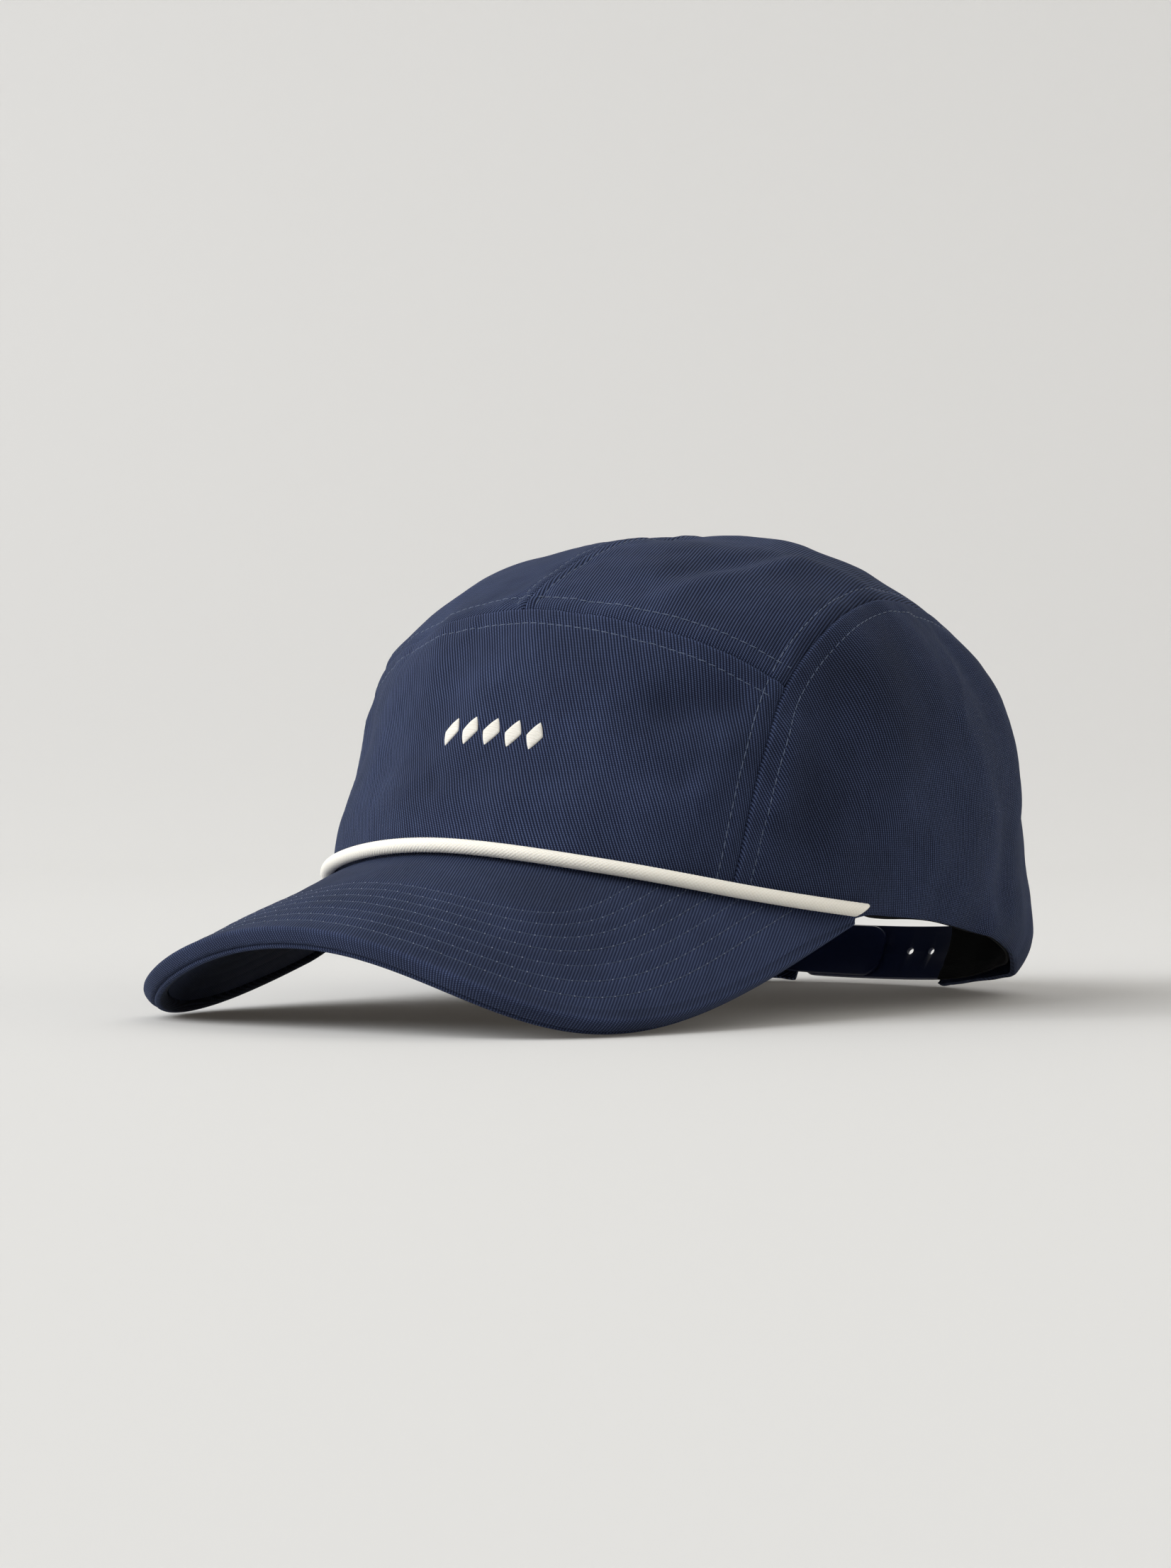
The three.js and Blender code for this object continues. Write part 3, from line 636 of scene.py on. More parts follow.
def cord_cloth(name, groove, crest):
    """Cord or satin thread: painted shade darkens its grooves, with fine fibres."""
    material, tree, shader = new_material(name)
    place, _, _ = rib_map(tree)
    relief = math_node(tree, "POWER", mark_value(tree, "relief"), 0.75, clamp=True)
    fibre = noise_node(tree, scaled(tree, place, (1.0, 6.0, 1)), 2.5, 3.0, 0.7)
    fibres = math_node(tree, "MULTIPLY_ADD", fibre, 0.5, 0.75)
    share = math_node(tree, "MULTIPLY", relief, fibres, clamp=True)
    set_surface(tree, shader, mix_colour(tree, share, groove, crest), fibre, 0.05, 0.5)
    set_cloth(shader, 0.75, 0.35, (1, 0.97, 0.9, 1))
    shader.inputs["Subsurface Weight"].default_value = 0.08
    shader.inputs["Subsurface Radius"].default_value = (0.6 * MM, 0.5 * MM, 0.4 * MM)
    return material


def sewing_thread(name, dark, light):
    """Thread with fine darker and lighter spots."""
    material, tree, shader = new_material(name)
    spot = noise_node(tree, object_place(tree), 900.0, 2.0, 0.6)
    set_surface(tree, shader, mix_colour(tree, spot, dark, light), spot, 0.06, 0.5)
    set_cloth(shader, 0.5, 0.2, (0.8, 0.88, 1, 1))
    return material


def moulded(name, colour, lighter):
    """Smooth moulded plastic with a faint grain."""
    material, tree, shader = new_material(name)
    place = object_place(tree)
    grain = noise_node(tree, place, 2600.0, 2.0, 0.6)
    cloud = noise_node(tree, place, 45.0, 3.0, 0.5)
    set_surface(tree, shader, mix_colour(tree, cloud, colour, lighter), grain, 0.03, 0.35)
    shader.inputs["Roughness"].default_value = 0.38
    shader.inputs["Specular IOR Level"].default_value = 0.45
    return material


crown_twill = twill("crown_twill", (0.0024, 0.0044, 0.0165, 1), (0.079, 0.108, 0.215, 1), 1.2, 0.05)
brim_twill = twill("brim_twill", (0.0080, 0.0115, 0.0300, 1), (0.058, 0.080, 0.160, 1), 1.1, 0.05)
under_cloth = twill("under_cloth", (0.004, 0.006, 0.016, 1), (0.035, 0.048, 0.092, 1), 1.0, 0.03)
band_cloth = plain_cloth("band_cloth", (0.003, 0.003, 0.0035, 1), (0.010, 0.010, 0.011, 1), 2.2, 0.02)
# The first colour of the cord and the satin thread is painted shade in their grooves.
rope_cord = cord_cloth("rope_cord", (0.76, 0.69, 0.56, 1), (0.98, 0.95, 0.87, 1))
blue_thread = sewing_thread("blue_thread", (0.050, 0.066, 0.112, 1), (0.15, 0.185, 0.27, 1))
dark_thread = sewing_thread("dark_thread", (0.030, 0.043, 0.082, 1), (0.075, 0.100, 0.165, 1))
glint_thread = sewing_thread("glint_thread", (0.15, 0.18, 0.26, 1), (0.30, 0.34, 0.44, 1))
satin_thread = cord_cloth("satin_thread", (0.50, 0.46, 0.38, 1), (0.92, 0.90, 0.84, 1))
strap_plastic = moulded("strap_plastic", (0.011, 0.018, 0.062, 1), (0.016, 0.026, 0.085, 1))


# Cloth of the crown
def near_line(points, line):
    """Each point's distance to a line of points, and the length along the line at the nearest place."""
    flat = points.reshape(-1, 3)
    start, step = line[:-1], np.diff(line, axis=0)
    length = np.linalg.norm(step, axis=1)
    begun = np.concatenate([[0], np.cumsum(length)])[:-1]
    away, along = np.empty(len(flat)), np.empty(len(flat))
    for i in range(0, len(flat), 3000):
        p = flat[i:i + 3000, None] - start
        t = np.clip((p * step).sum(2) / length**2, 0, 1)
        gap = ((p - t[..., None] * step) ** 2).sum(2)
        k = gap.argmin(1)
        rows = np.arange(len(k))
        away[i:i + 3000] = np.sqrt(gap[rows, k])
        along[i:i + 3000] = begun[k] + t[rows, k] * length[k]
    return away.reshape(points.shape[:-1]), along.reshape(points.shape[:-1])


draw = np.random.default_rng(7)


def make_waves(row):
    """Waves in random directions, whose sum is a soft uneven surface about as long as its size."""
    ways = unit(draw.normal(size=(row["count"], 3)))
    lengths = row["size"] * draw.uniform(1 - row["spread"], 1 + row["spread"], row["count"])
    return ways * (2 * math.pi / lengths)[:, None], draw.uniform(0, 2 * math.pi, row["count"])


waves = {row["name"]: make_waves(row) for row in WAVES}


def rippled(name, points):
    ways, phases = waves[name]
    return np.sin(points @ ways.T + phases).sum(-1) / math.sqrt(len(phases) / 2)


def ripples(heights, points):
    return sum(height * rippled(name, points) for name, height in heights.items())


seam_lines = {
    "front": crown_point(front_seam(np.linspace(-JUNCTION["turn"], JUNCTION["turn"], 220))),
    "left": crown_point(side_seam(np.linspace(0, SEAM_END, 420))),
    "centre": crown_point(centre_seam(np.linspace(0, 1, 260))),
    "arch": crown_point(on_arch(np.linspace(foot_angle, 180 - foot_angle, 160))),
    "hem": crown_point(hem(np.linspace(-foot_turn, foot_turn, 500))),
}
seam_lines["right"] = mirrored(seam_lines["left"])
ROW_AWAY = {"front": STITCH["row"], "left": STITCH["row"] - 0.2, "right": STITCH["row"] - 0.2,
            "centre": STITCH["centre_row"], "arch": STITCH["arch_row"]}
ROW_ROOM = {"seam": 0.9, "open edge": 2.2}


def bump(away, width):
    return np.exp(-(away / width) ** 2)


def seam_lift(away, row, raised):
    """The cloth's height beside a seam: a folded edge that stands up, or one that lies flat under it."""
    edge, groove = ("edge", "groove") if raised else ("flat_edge", "flat_groove")
    lift = SEAM[edge] * bump(away, SEAM["edge_width"]) - SEAM[groove] * bump(away, SEAM["groove_width"])
    return lift + SEAM["puff"] * bump(away - 0.5 * row, 0.3 * row)


def stitch_beat(along, pitch):
    """Each stitch pulls a channel down, a little more at its middle."""
    return 0.75 + 0.25 * np.cos(2 * math.pi * along / pitch)


def cloth_lift(points, d, seams):
    """How far the cloth stands out from the crown's plain shape, and how light its tone is there, with
    painted shade and painted light in it.
    """
    soft = fold_depth(d, SOFT_FOLDS)
    lift = ripples(RIPPLE, points) - soft
    # Painted shade in the soft folds' hollows, painted light on their swells.
    tone = -0.22 * soft
    # Painted shade over the side and the top.
    for shade in PAINTED_SHADES:
        turn, rise = shade["at"]
        for side in (1, -1):
            away = np.linalg.norm(d - direction(turn * side, rise), axis=-1) * 100
            tone += shade["tone"] * bump(away, shade["width"])
    pucker = SEAM["pucker"] * rippled("pucker", points)
    for seam, raised in seams.items():
        away, along = near_line(points, seam_lines[seam])
        row = ROW_AWAY[seam]
        lift += seam_lift(away, row, raised) + pucker * bump(away - row, SEAM["pucker_width"])
        beat = stitch_beat(along, STITCH["pitch"])
        lift -= SEAM["channel"] * beat * bump(away - row, SEAM["channel_width"])
        tone += raised * 0.9 * bump(away - 0.7, 0.4) + 0.2 * bump(away - row, 1.6)
    lift -= 0.35 * bump(near_line(points, seam_lines["hem"])[0], 0.5)
    return lift, np.clip(tone, -1.8, 1)


FRONT_SEAMS = {"front": True, "left": False, "right": False}


def side_seams(word):
    return {word: True, "arch": True}


def top_seams(word):
    return {"front": False, word: False, "centre": word == "left", "arch": True}


def rib_places(x, y, weave):
    """The place on flat cloth as a count of ribs across and along them."""
    lean = math.radians(weave["lean"])
    across, along = x * math.sin(lean) - y * math.cos(lean), x * math.cos(lean) + y * math.sin(lean)
    return np.stack([across, along], -1) / weave["pitch"]


def flat_places(d, weave, side):
    """Each direction's place on a flat map of its panel, round the panel's middle."""
    centre = direction(weave["turn"] * side, weave["rise"])
    level = unit(np.cross([0, 0, 1.0], centre))
    upright = np.cross(centre, level)
    angle = np.arccos(np.clip(d @ centre, -1, 1))
    aside = d - centre * (d @ centre)[..., None]
    size = np.linalg.norm(aside, axis=-1) + 1e-9
    return 100 * angle * (aside @ level) / size, 100 * angle * (aside @ upright) / size


def spaced(length):
    """Shares of a length, close together near both ends."""
    dense = np.linspace(0, length, 4000)
    away = np.minimum(dense, length - dense)
    step = np.interp(away, SPACING["away"], SPACING["step"])
    count = np.concatenate([[0], np.cumsum(np.diff(dense) / step[1:])])
    lines = int(round(count[-1]))
    return np.interp(np.linspace(0, count[-1], lines + 1), count, dense) / length


def patch(edges, across, up):
    u, v = across[None, :, None], up[:, None, None]
    bottom, top = edges["bottom"](across)[None], edges["top"](across)[None]
    left, right = edges["left"](up)[:, None], edges["right"](up)[:, None]
    corners = ((bottom[:, :1] * (1 - u) + bottom[:, -1:] * u) * (1 - v)
               + (top[:, :1] * (1 - u) + top[:, -1:] * u) * v)
    return unit(bottom * (1 - v) + top * v + left * (1 - u) + right * u - corners)


def panel(name, edges, lengths, seams, weave, side):
    d = patch(edges, spaced(lengths[0]), spaced(lengths[1]))
    if side < 0:
        d = mirrored(d)[:, ::-1]
    points = crown_point(d)
    lift, tone = cloth_lift(points, d, seams)
    out = crown_normal(d)
    shaped = points + out * lift[..., None]
    x, y = flat_places(d, TWILL[weave], side)
    piece = shaped_grid(name, shaped, rib_places(x, y, TWILL[weave]), {"tone": tone})
    thicken(piece, WALL, shaped - out * WALL)
    smooth_shade(piece, 50)
    finish_piece(piece, crown_twill, "crown_twill", name.replace("_cloth", ""))


def blended(function, start, end):
    return lambda t: function(start + (end - start) * np.asarray(t, float))


front_edges = {
    "bottom": blended(hem, -FRONT_CORNER, FRONT_CORNER),
    "top": blended(front_seam, -JUNCTION["turn"], JUNCTION["turn"]),
    "left": lambda t: mirrored(side_seam(JUNCTION["along"] * t)),
    "right": lambda t: side_seam(JUNCTION["along"] * t),
}
side_edges = {
    "bottom": blended(hem, FRONT_CORNER, foot_turn),
    "top": blended(side_seam, SIDE_CORNER_ALONG, SEAM_END),
    "left": blended(side_seam, 0, SIDE_CORNER_ALONG),
    "right": blended(on_arch, foot_angle, ARCH["shoulder"]),
}
top_edges = {
    "bottom": blended(front_seam, 0, JUNCTION["turn"]),
    "top": blended(on_arch, 90, ARCH["shoulder"]),
    "left": centre_seam,
    "right": blended(side_seam, JUNCTION["along"], SEAM_END),
}

panel("front_panel_cloth", front_edges, (150, 68), FRONT_SEAMS, "front", 1)
for side, word in ((1, "left"), (-1, "right")):
    panel(f"side_panel_{word}_cloth", side_edges, (180, 82), side_seams(word), "side", side)
    panel(f"top_panel_{word}_cloth", top_edges, (70, 175), top_seams(word), "top", side)


# Brim
brim_forward = np.array([0, -math.cos(BRIM["slope"]), -math.sin(BRIM["slope"])])
brim_inward = np.array([0, math.sin(BRIM["slope"]), -math.cos(BRIM["slope"])])
brim_root = crown_point(at_height(0, BRIM["root_height"]))


def brim_point(across, forward, proud):
    across, forward, proud = np.broadcast_arrays(across, forward, proud)
    bend = across / BRIM["bend_radius"]
    radius = BRIM["bend_radius"] + proud
    level = np.stack([radius * np.sin(bend), 0 * bend, 0 * bend], -1)
    drop = BRIM["bend_radius"] - radius * np.cos(bend)
    return brim_root + forward[..., None] * brim_forward + drop[..., None] * brim_inward + level


def brim_normal(across):
    bend = np.asarray(across) / BRIM["bend_radius"]
    return np.stack([np.sin(bend), 0 * bend, 0 * bend], -1) - np.cos(bend)[..., None] * brim_inward


def to_brim(points):
    away = points - brim_root
    to_axis = BRIM["bend_radius"] - away @ brim_inward
    across = BRIM["bend_radius"] * np.arctan2(away[..., 0], to_axis)
    return across, away @ brim_forward, np.hypot(away[..., 0], to_axis) - BRIM["bend_radius"]


def brim_inner(turn, depth):
    across, _, _ = to_brim(crown_point(at_height(turn, sewn_height(turn))))
    drop = depth / (math.cos(BRIM["slope"]) * np.cos(across / BRIM["bend_radius"]))
    d = at_height(turn, sewn_height(turn) - drop)
    return to_brim(wall_point(d, np.full(np.shape(turn), -BRIM["clear"])))


def even_places(points, values, shares):
    """The values at even shares of the length of a line of points."""
    length = np.concatenate([[0], np.cumsum(np.linalg.norm(np.diff(points, axis=0), axis=1))])
    return np.stack([np.interp(shares * length[-1], length, column) for column in values.T], -1)


def brim_stations(count):
    """For each section of the brim: the inner edge's turn, the outline's point, the way in, two fades."""
    shares = np.linspace(0, 1, count + 1)
    turns = np.linspace(-BRIM["end_turn"], BRIM["end_turn"], 900)
    turn = even_places(crown_point(at_height(turns, 0)), turns[:, None], shares)[:, 0]
    angle = np.radians(np.linspace(180 - BRIM["end_angle"], BRIM["end_angle"], 3000))
    n, length = BRIM["squareness"], BRIM["reach"] - BRIM["shoulder"]
    aside, ahead = np.abs(np.cos(angle) / BRIM["half_width"]), np.abs(np.sin(angle) / length)
    reach = (aside ** n + ahead ** n) ** (-1 / n)
    outline = np.stack([reach * np.cos(angle), BRIM["shoulder"] + reach * np.sin(angle)], -1)
    edge = even_places(outline, outline, shares)
    across, forward, _ = brim_inner(turn, 0)
    way = np.stack([across, forward], -1) - edge
    span = np.linalg.norm(way, axis=1)
    ends_away = np.minimum(shares, 1 - shares)
    thin = BRIM["end_thin"] + (1 - BRIM["end_thin"]) * step_between(ends_away, 0, BRIM["end_share"])
    return {"turn": turn, "edge": edge, "way": way / span[:, None], "thin": thin,
            "scale": np.minimum(1, span / BRIM["full_span"])}


def row_line(k):
    """One stitched row of the brim, as places across and forward on its flat sheet."""
    width = BRIM_ROWS["half_width"] + k * BRIM_ROWS["width_step"]
    middle = BRIM_ROWS["middle"] + k * BRIM_ROWS["middle_step"]
    height = BRIM_ROWS["apex"] + k * BRIM_ROWS["apex_step"] - middle
    angle = np.radians(np.linspace(180, 0, 500))
    power = 2 / BRIM_ROWS["squareness"]
    across = width * np.sign(np.cos(angle)) * np.abs(np.cos(angle)) ** power
    forward = middle + height * np.abs(np.sin(angle)) ** power
    tail = np.linspace(BRIM_ROWS["tail"], middle, 60)[:-1]
    ends = np.full_like(tail, width)
    return np.concatenate([np.stack([-ends, tail], -1), np.stack([across, forward], -1),
                           np.stack([ends, tail[::-1]], -1)])


brim_rows = [row_line(k) for k in range(BRIM_ROWS["count"])]
inner_turns = np.linspace(-BRIM["end_turn"], BRIM["end_turn"], 400)
inner_across, inner_forward, _ = brim_inner(inner_turns, 0)


def outline_room(across, forward):
    """How far inside the brim's outline a place lies, roughly."""
    n, length = BRIM["squareness"], BRIM["reach"] - BRIM["shoulder"]
    share = (np.abs(across / BRIM["half_width"]) ** n
             + np.abs(np.maximum(forward - BRIM["shoulder"], 0) / length) ** n) ** (1 / n)
    return (1 - share) * BRIM["half_width"]


def brim_lift(across, forward):
    """Stitched channels and the soft swells between them, and each place's distance to the nearest row."""
    flat = np.stack([across, forward, np.zeros(np.shape(across))], -1)
    lift = ripples(BRIM_RIPPLE, flat)
    near = np.full(np.shape(across), 99.0)
    for line in brim_rows:
        away, along = near_line(flat, np.pad(line[::3], ((0, 0), (0, 1))))
        channel = stitch_beat(along, BRIM_STITCH["pitch"]) * bump(away, BRIM_CHANNEL["width"])
        lift -= BRIM_CHANNEL["depth"] * channel
        near = np.minimum(near, away)
    lift += BRIM_CHANNEL["swell"] * step_between(near, 0.4, 2.2) * (1 - step_between(near, 2.3, 6.0))
    return lift, near


def brim_sheet(stations, depth, inward, shares):
    """Places across, forward and proud, from the inner edge to a distance inside the outline."""
    deep = depth * stations["thin"]
    start = np.stack(brim_inner(stations["turn"], deep), -1)[:, None]
    end = stations["edge"] + stations["way"] * (inward * stations["scale"])[:, None]
    end = np.concatenate([end, -deep[:, None]], 1)[:, None]
    return start * (1 - shares[:, None]) + end * shares[:, None]


def brim_cover():
    """The upper cover with its rolled edge. Returns the places of its face before the relief is added."""
    stations = brim_stations(450)
    thin, scale = stations["thin"][:, None], stations["scale"][:, None]
    shares = np.linspace(0, 1, 146)[:-1]
    face = brim_sheet(stations, 0, ROLL["inward"][0], shares)
    plain_face = face.reshape(-1, 3).copy()
    lift, near = brim_lift(face[..., 0], face[..., 1])
    face[..., 2] += lift * (step_between(shares, 0.0, 0.06) * thin)
    # Lighter along the stitch rows, and painted light towards the brim's ends, where less light falls on
    # them.
    face_tone = 0.3 * bump(near, 1.5) + 0.9 * step_between(np.abs(face[..., 0]), 50, 85)
    inward, proud = np.array(ROLL["inward"]), np.array(ROLL["proud"])
    roll = stations["edge"][:, None] + stations["way"][:, None] * (inward * scale)[..., None]
    roll = np.concatenate([roll, (proud * thin)[..., None]], -1)
    # The crease of the folded edge gets a painted highlight, and the turned-under cloth is painted dark as
    # painted shade.
    roll_painted_light = bump(inward - 1.0, 0.7) * (proud > -0.5)
    roll_painted_light += TUCKED_PAINTED_SHADE * (np.arange(len(inward)) >= ROLL["tucked_from"])
    low = np.stack(brim_inner(stations["turn"], BRIM["upper"] * stations["thin"]), -1)[:, None]
    back_shares = np.linspace(0, 1, 9)[1:, None]
    back = roll[:, -1:] * (1 - back_shares) + low * back_shares
    section = np.concatenate([face, roll, back, face[:, :1]], 1)
    tone = np.concatenate([face_tone, np.broadcast_to(roll_painted_light, roll.shape[:2]),
                           np.full(back.shape[:2], TUCKED_PAINTED_SHADE), face_tone[:, :1]], 1)
    points = brim_point(*np.moveaxis(section, -1, 0))
    # On the rolled edge the cloth's own length runs down the face.
    flat = section[..., :2]
    extra = np.linalg.norm(np.diff(points, axis=1), axis=2) - np.linalg.norm(np.diff(flat, axis=1), axis=2)
    extra[:, :len(shares)] = 0
    fold_length = np.pad(np.cumsum(extra, axis=1), ((0, 0), (1, 0)))
    flat = flat - stations["way"][:, None] * fold_length[..., None]
    ribs = rib_places(flat[..., 0], flat[..., 1], TWILL["brim"])
    piece = closed_piece("brim_cover", points[::-1], ribs[::-1], {"tone": tone[::-1]})
    smooth_shade(piece, 60)
    finish_piece(piece, brim_twill, "brim_twill", "brim_upper")
    return plain_face


def brim_lining():
    stations = brim_stations(240)
    low, high = (brim_sheet(stations, depth, BRIM["lining_in"], np.linspace(0, 1, 70))
                 for depth in (BRIM["under"], BRIM["upper"] + BRIM["lining_gap"]))
    lift, _ = brim_lift(low[..., 0], low[..., 1])
    low[..., 2] -= 0.8 * lift * stations["thin"][:, None]
    section = np.concatenate([low, high[:, ::-8], low[:, :1]], 1)
    points = brim_point(*np.moveaxis(section, -1, 0))
    ribs = rib_places(section[..., 0], section[..., 1], TWILL["lining"])
    piece = closed_piece("brim_lining", points, ribs, {"tone": np.zeros(section.shape[:2])})
    smooth_shade(piece, 60)
    finish_piece(piece, under_cloth, "under_cloth", "brim_under")


brim_face = brim_cover()
brim_lining()


def brim_seat(places):
    """The height of the brim's upper face at each place, taken from the nearest point of its cover."""
    nearest = [np.argmin(((brim_face[:, :2] - place) ** 2).sum(1)) for place in places]
    return brim_face[nearest, 2]


# Stitches
def stitch_model():
    """One stitch along X, a unit long and a unit thick, arched so that its ends dip into the cloth."""
    deselect()
    bpy.ops.mesh.primitive_uv_sphere_add(segments=6, ring_count=6, radius=1, rotation=(0, math.pi / 2, 0))
    model = bpy.context.object
    bpy.ops.object.transform_apply(rotation=True)
    points = points_of(model.data).astype(float)
    faces = [list(f.vertices) for f in model.data.polygons]
    bpy.data.objects.remove(model)
    x = np.sign(points[:, 0]) * np.abs(points[:, 0]) ** 0.7
    girth = np.hypot(points[:, 1], points[:, 2]) + 1e-9
    full = np.sqrt(np.clip(1 - np.abs(x) ** 5, 0, 1)) * np.where(np.abs(points[:, 0]) > 0.999, 0, 1)
    side = points[:, 1] / girth * full
    out = points[:, 2] / girth * full - 1.1 * np.abs(x) ** 3
    return np.stack([x / 2, side, out], -1), faces


def sew(name, stitches, radius, material, slot):
    """All the stitches of one piece. Each has its middle, its way along and the way out of the cloth."""
    shape, faces = stitch_model()
    middles, ways, outs, lengths = (np.concatenate(part) for part in zip(*stitches))
    sides = unit(np.cross(outs, ways))
    rise = radius * 0.55
    along, aside, above = (shape[None, :, k:k + 1] for k in range(3))
    points = (middles[:, None] + ways[:, None] * (along * lengths[:, None, None])
              + sides[:, None] * (aside * radius) + outs[:, None] * (above * radius + rise))
    count = shape.shape[0]
    mesh = bpy.data.meshes.new(name)
    all_faces = [[v + i * count for v in face] for i in range(len(middles)) for face in faces]
    mesh.from_pydata(to_row(points.reshape(-1, 3)).tolist(), [], all_faces)
    piece = bpy.data.objects.new(name, mesh)
    bpy.context.scene.collection.objects.link(piece)
    edit_all(piece, bpy.ops.mesh.normals_make_consistent, inside=False)
    smooth_shade(piece, 80)
    finish_piece(piece, material, slot)


def stitch_places(line, pitch, length):
    """Middles, ways and lengths of the stitches along a line of points."""
    gaps = np.linalg.norm(np.diff(line, axis=0), axis=1)
    along = np.concatenate([[0], np.cumsum(gaps)])
    middle = np.arange(pitch / 2, along[-1], pitch)

    def at(s):
        return np.stack([np.interp(s, along, line[:, k]) for k in range(line.shape[1])], -1)

    ahead, behind = at(middle + length / 2), at(middle - length / 2)
    return at(middle), unit(ahead - behind), np.linalg.norm(ahead - behind, axis=-1)


def beside(seam, away):
    """A line on the crown at a distance to the left of a seam, seen from outside in its own direction."""
    d = unit(seam)
    ways = unit(np.gradient(seam, axis=0))
    left = unit(np.cross(crown_normal(d), ways))
    return crown_point(unit(seam + left * away))


def inside_rows(line, others):
    """The part of a line that keeps clear of the other seams, and further clear of the open arch."""
    keep = np.ones(len(line), bool)
    for other in others:
        keep &= near_line(line, seam_lines[other])[0] > ROW_ROOM["open edge" if other == "arch" else "seam"]
    first, last = np.flatnonzero(keep)[[0, -1]]
    return line[first:last + 1]


def crown_row(line, seams):
    """The stitches of one row on the crown, lying in the row's channel."""
    middle, way, length = stitch_places(line, STITCH["pitch"], STITCH["length"])
    d = unit(middle)
    out = crown_normal(d)
    points = crown_point(d)
    lift, _ = cloth_lift(points, d, seams)
    way = unit(way - out * (way * out).sum(-1, keepdims=True))
    way = unit(way + STITCH["slant"] * np.cross(out, way))
    return points + out * lift[:, None], way, out, length


def crown_stitches():
    front, left, centre, arch = (seam_lines[k] for k in ("front", "left", "centre", "arch"))
    rows = [crown_row(inside_rows(beside(front, -STITCH["row"]), ["left", "right"]), FRONT_SEAMS)]
    above = beside(front, STITCH["row"] + 0.3)
    middle = int(np.argmin(np.abs(above[:, 0])))
    for word, part in (("right", above[:middle + 1]), ("left", above[middle:])):
        rows.append(crown_row(inside_rows(part, [word, "centre"]), top_seams(word)))
    for word, sign in (("left", 1), ("right", -1)):
        seam = left if sign > 0 else mirrored(left)
        away = sign * ROW_AWAY[word]
        inner, outer = beside(seam, away), beside(seam, -away)
        junction = int(len(inner) * JUNCTION["along"] / SEAM_END)
        rows.append(crown_row(inside_rows(inner[:junction], ["hem", "front"]), FRONT_SEAMS))
        rows.append(crown_row(inside_rows(inner[junction:], ["front", "arch"]), top_seams(word)))
        rows.append(crown_row(inside_rows(outer, ["hem", "arch"]), side_seams(word)))
        beside_centre = beside(centre, -sign * STITCH["centre_row"])
        rows.append(crown_row(inside_rows(beside_centre, ["front", "arch"]), top_seams(word)))
    round_arch = beside(arch, ROW_AWAY["arch"])
    round_arch = round_arch[crown_point(unit(round_arch))[:, 2] > 2.5]
    rows.append(crown_row(round_arch, {"arch": True, "left": True, "right": True}))
    sew("crown_stitches", rows, STITCH["radius"], blue_thread, "crown_twill")


def brim_stitches():
    rows, knots = [], []
    for line in brim_rows:
        inner = np.interp(line[:, 0], inner_across, inner_forward)
        inside = outline_room(line[:, 0], line[:, 1]) > BRIM_ROWS["outer_room"]
        first, last = np.flatnonzero(inside & (line[:, 1] > inner + BRIM_ROWS["inner_room"]))[[0, -1]]
        kept = line[first:last + 1]
        middle, way, length = stitch_places(kept, BRIM_STITCH["pitch"], BRIM_STITCH["length"])
        lift, _ = brim_lift(middle[:, 0], middle[:, 1])
        proud = brim_seat(middle) + lift
        out = brim_normal(middle[:, 0])
        ends = middle[:, None] + np.array([-0.5, 0.5])[None, :, None] * way[:, None] * length[:, None, None]
        ends = brim_point(ends[..., 0], ends[..., 1], proud[:, None])
        ahead = unit(ends[:, 1] - ends[:, 0])
        rows.append((ends.mean(1), ahead, out, length))
        # Pale beads at the stitches' ends stand for painted glints.
        knot_lengths = np.full_like(length, BRIM_STITCH["knot_length"])
        knots.append((ends[:, 1] + out * 0.05, ahead, out, knot_lengths))
    sew("brim_stitches", rows, BRIM_STITCH["radius"], dark_thread, "brim_twill")
    sew("brim_stitch_ends", knots, BRIM_STITCH["knot_radius"], glint_thread, "brim_twill")


crown_stitches()
brim_stitches()


# Rope
def braid(along, turn_share):
    """Height of a diamond braid on a cord, from 0 in its grooves to 1 on its crests."""
    step = along / ROPE["lead"] * ROPE["strands"]
    a, b = step + turn_share * ROPE["strands"], step - turn_share * ROPE["strands"]
    i, j = np.rint(a), np.rint(b)
    over_a = 0.5 * np.cos(math.pi * (b + i))
    over_b = -0.5 * np.cos(math.pi * (a + j))
    round_a = np.sqrt(np.clip(1 - (1.75 * (a - i)) ** 2, 0, 1))
    round_b = np.sqrt(np.clip(1 - (1.75 * (b - j)) ** 2, 0, 1))
    return np.clip((np.maximum(round_a + 0.55 * over_a, round_b + 0.55 * over_b) - 0.3) / 0.98, 0, 1)


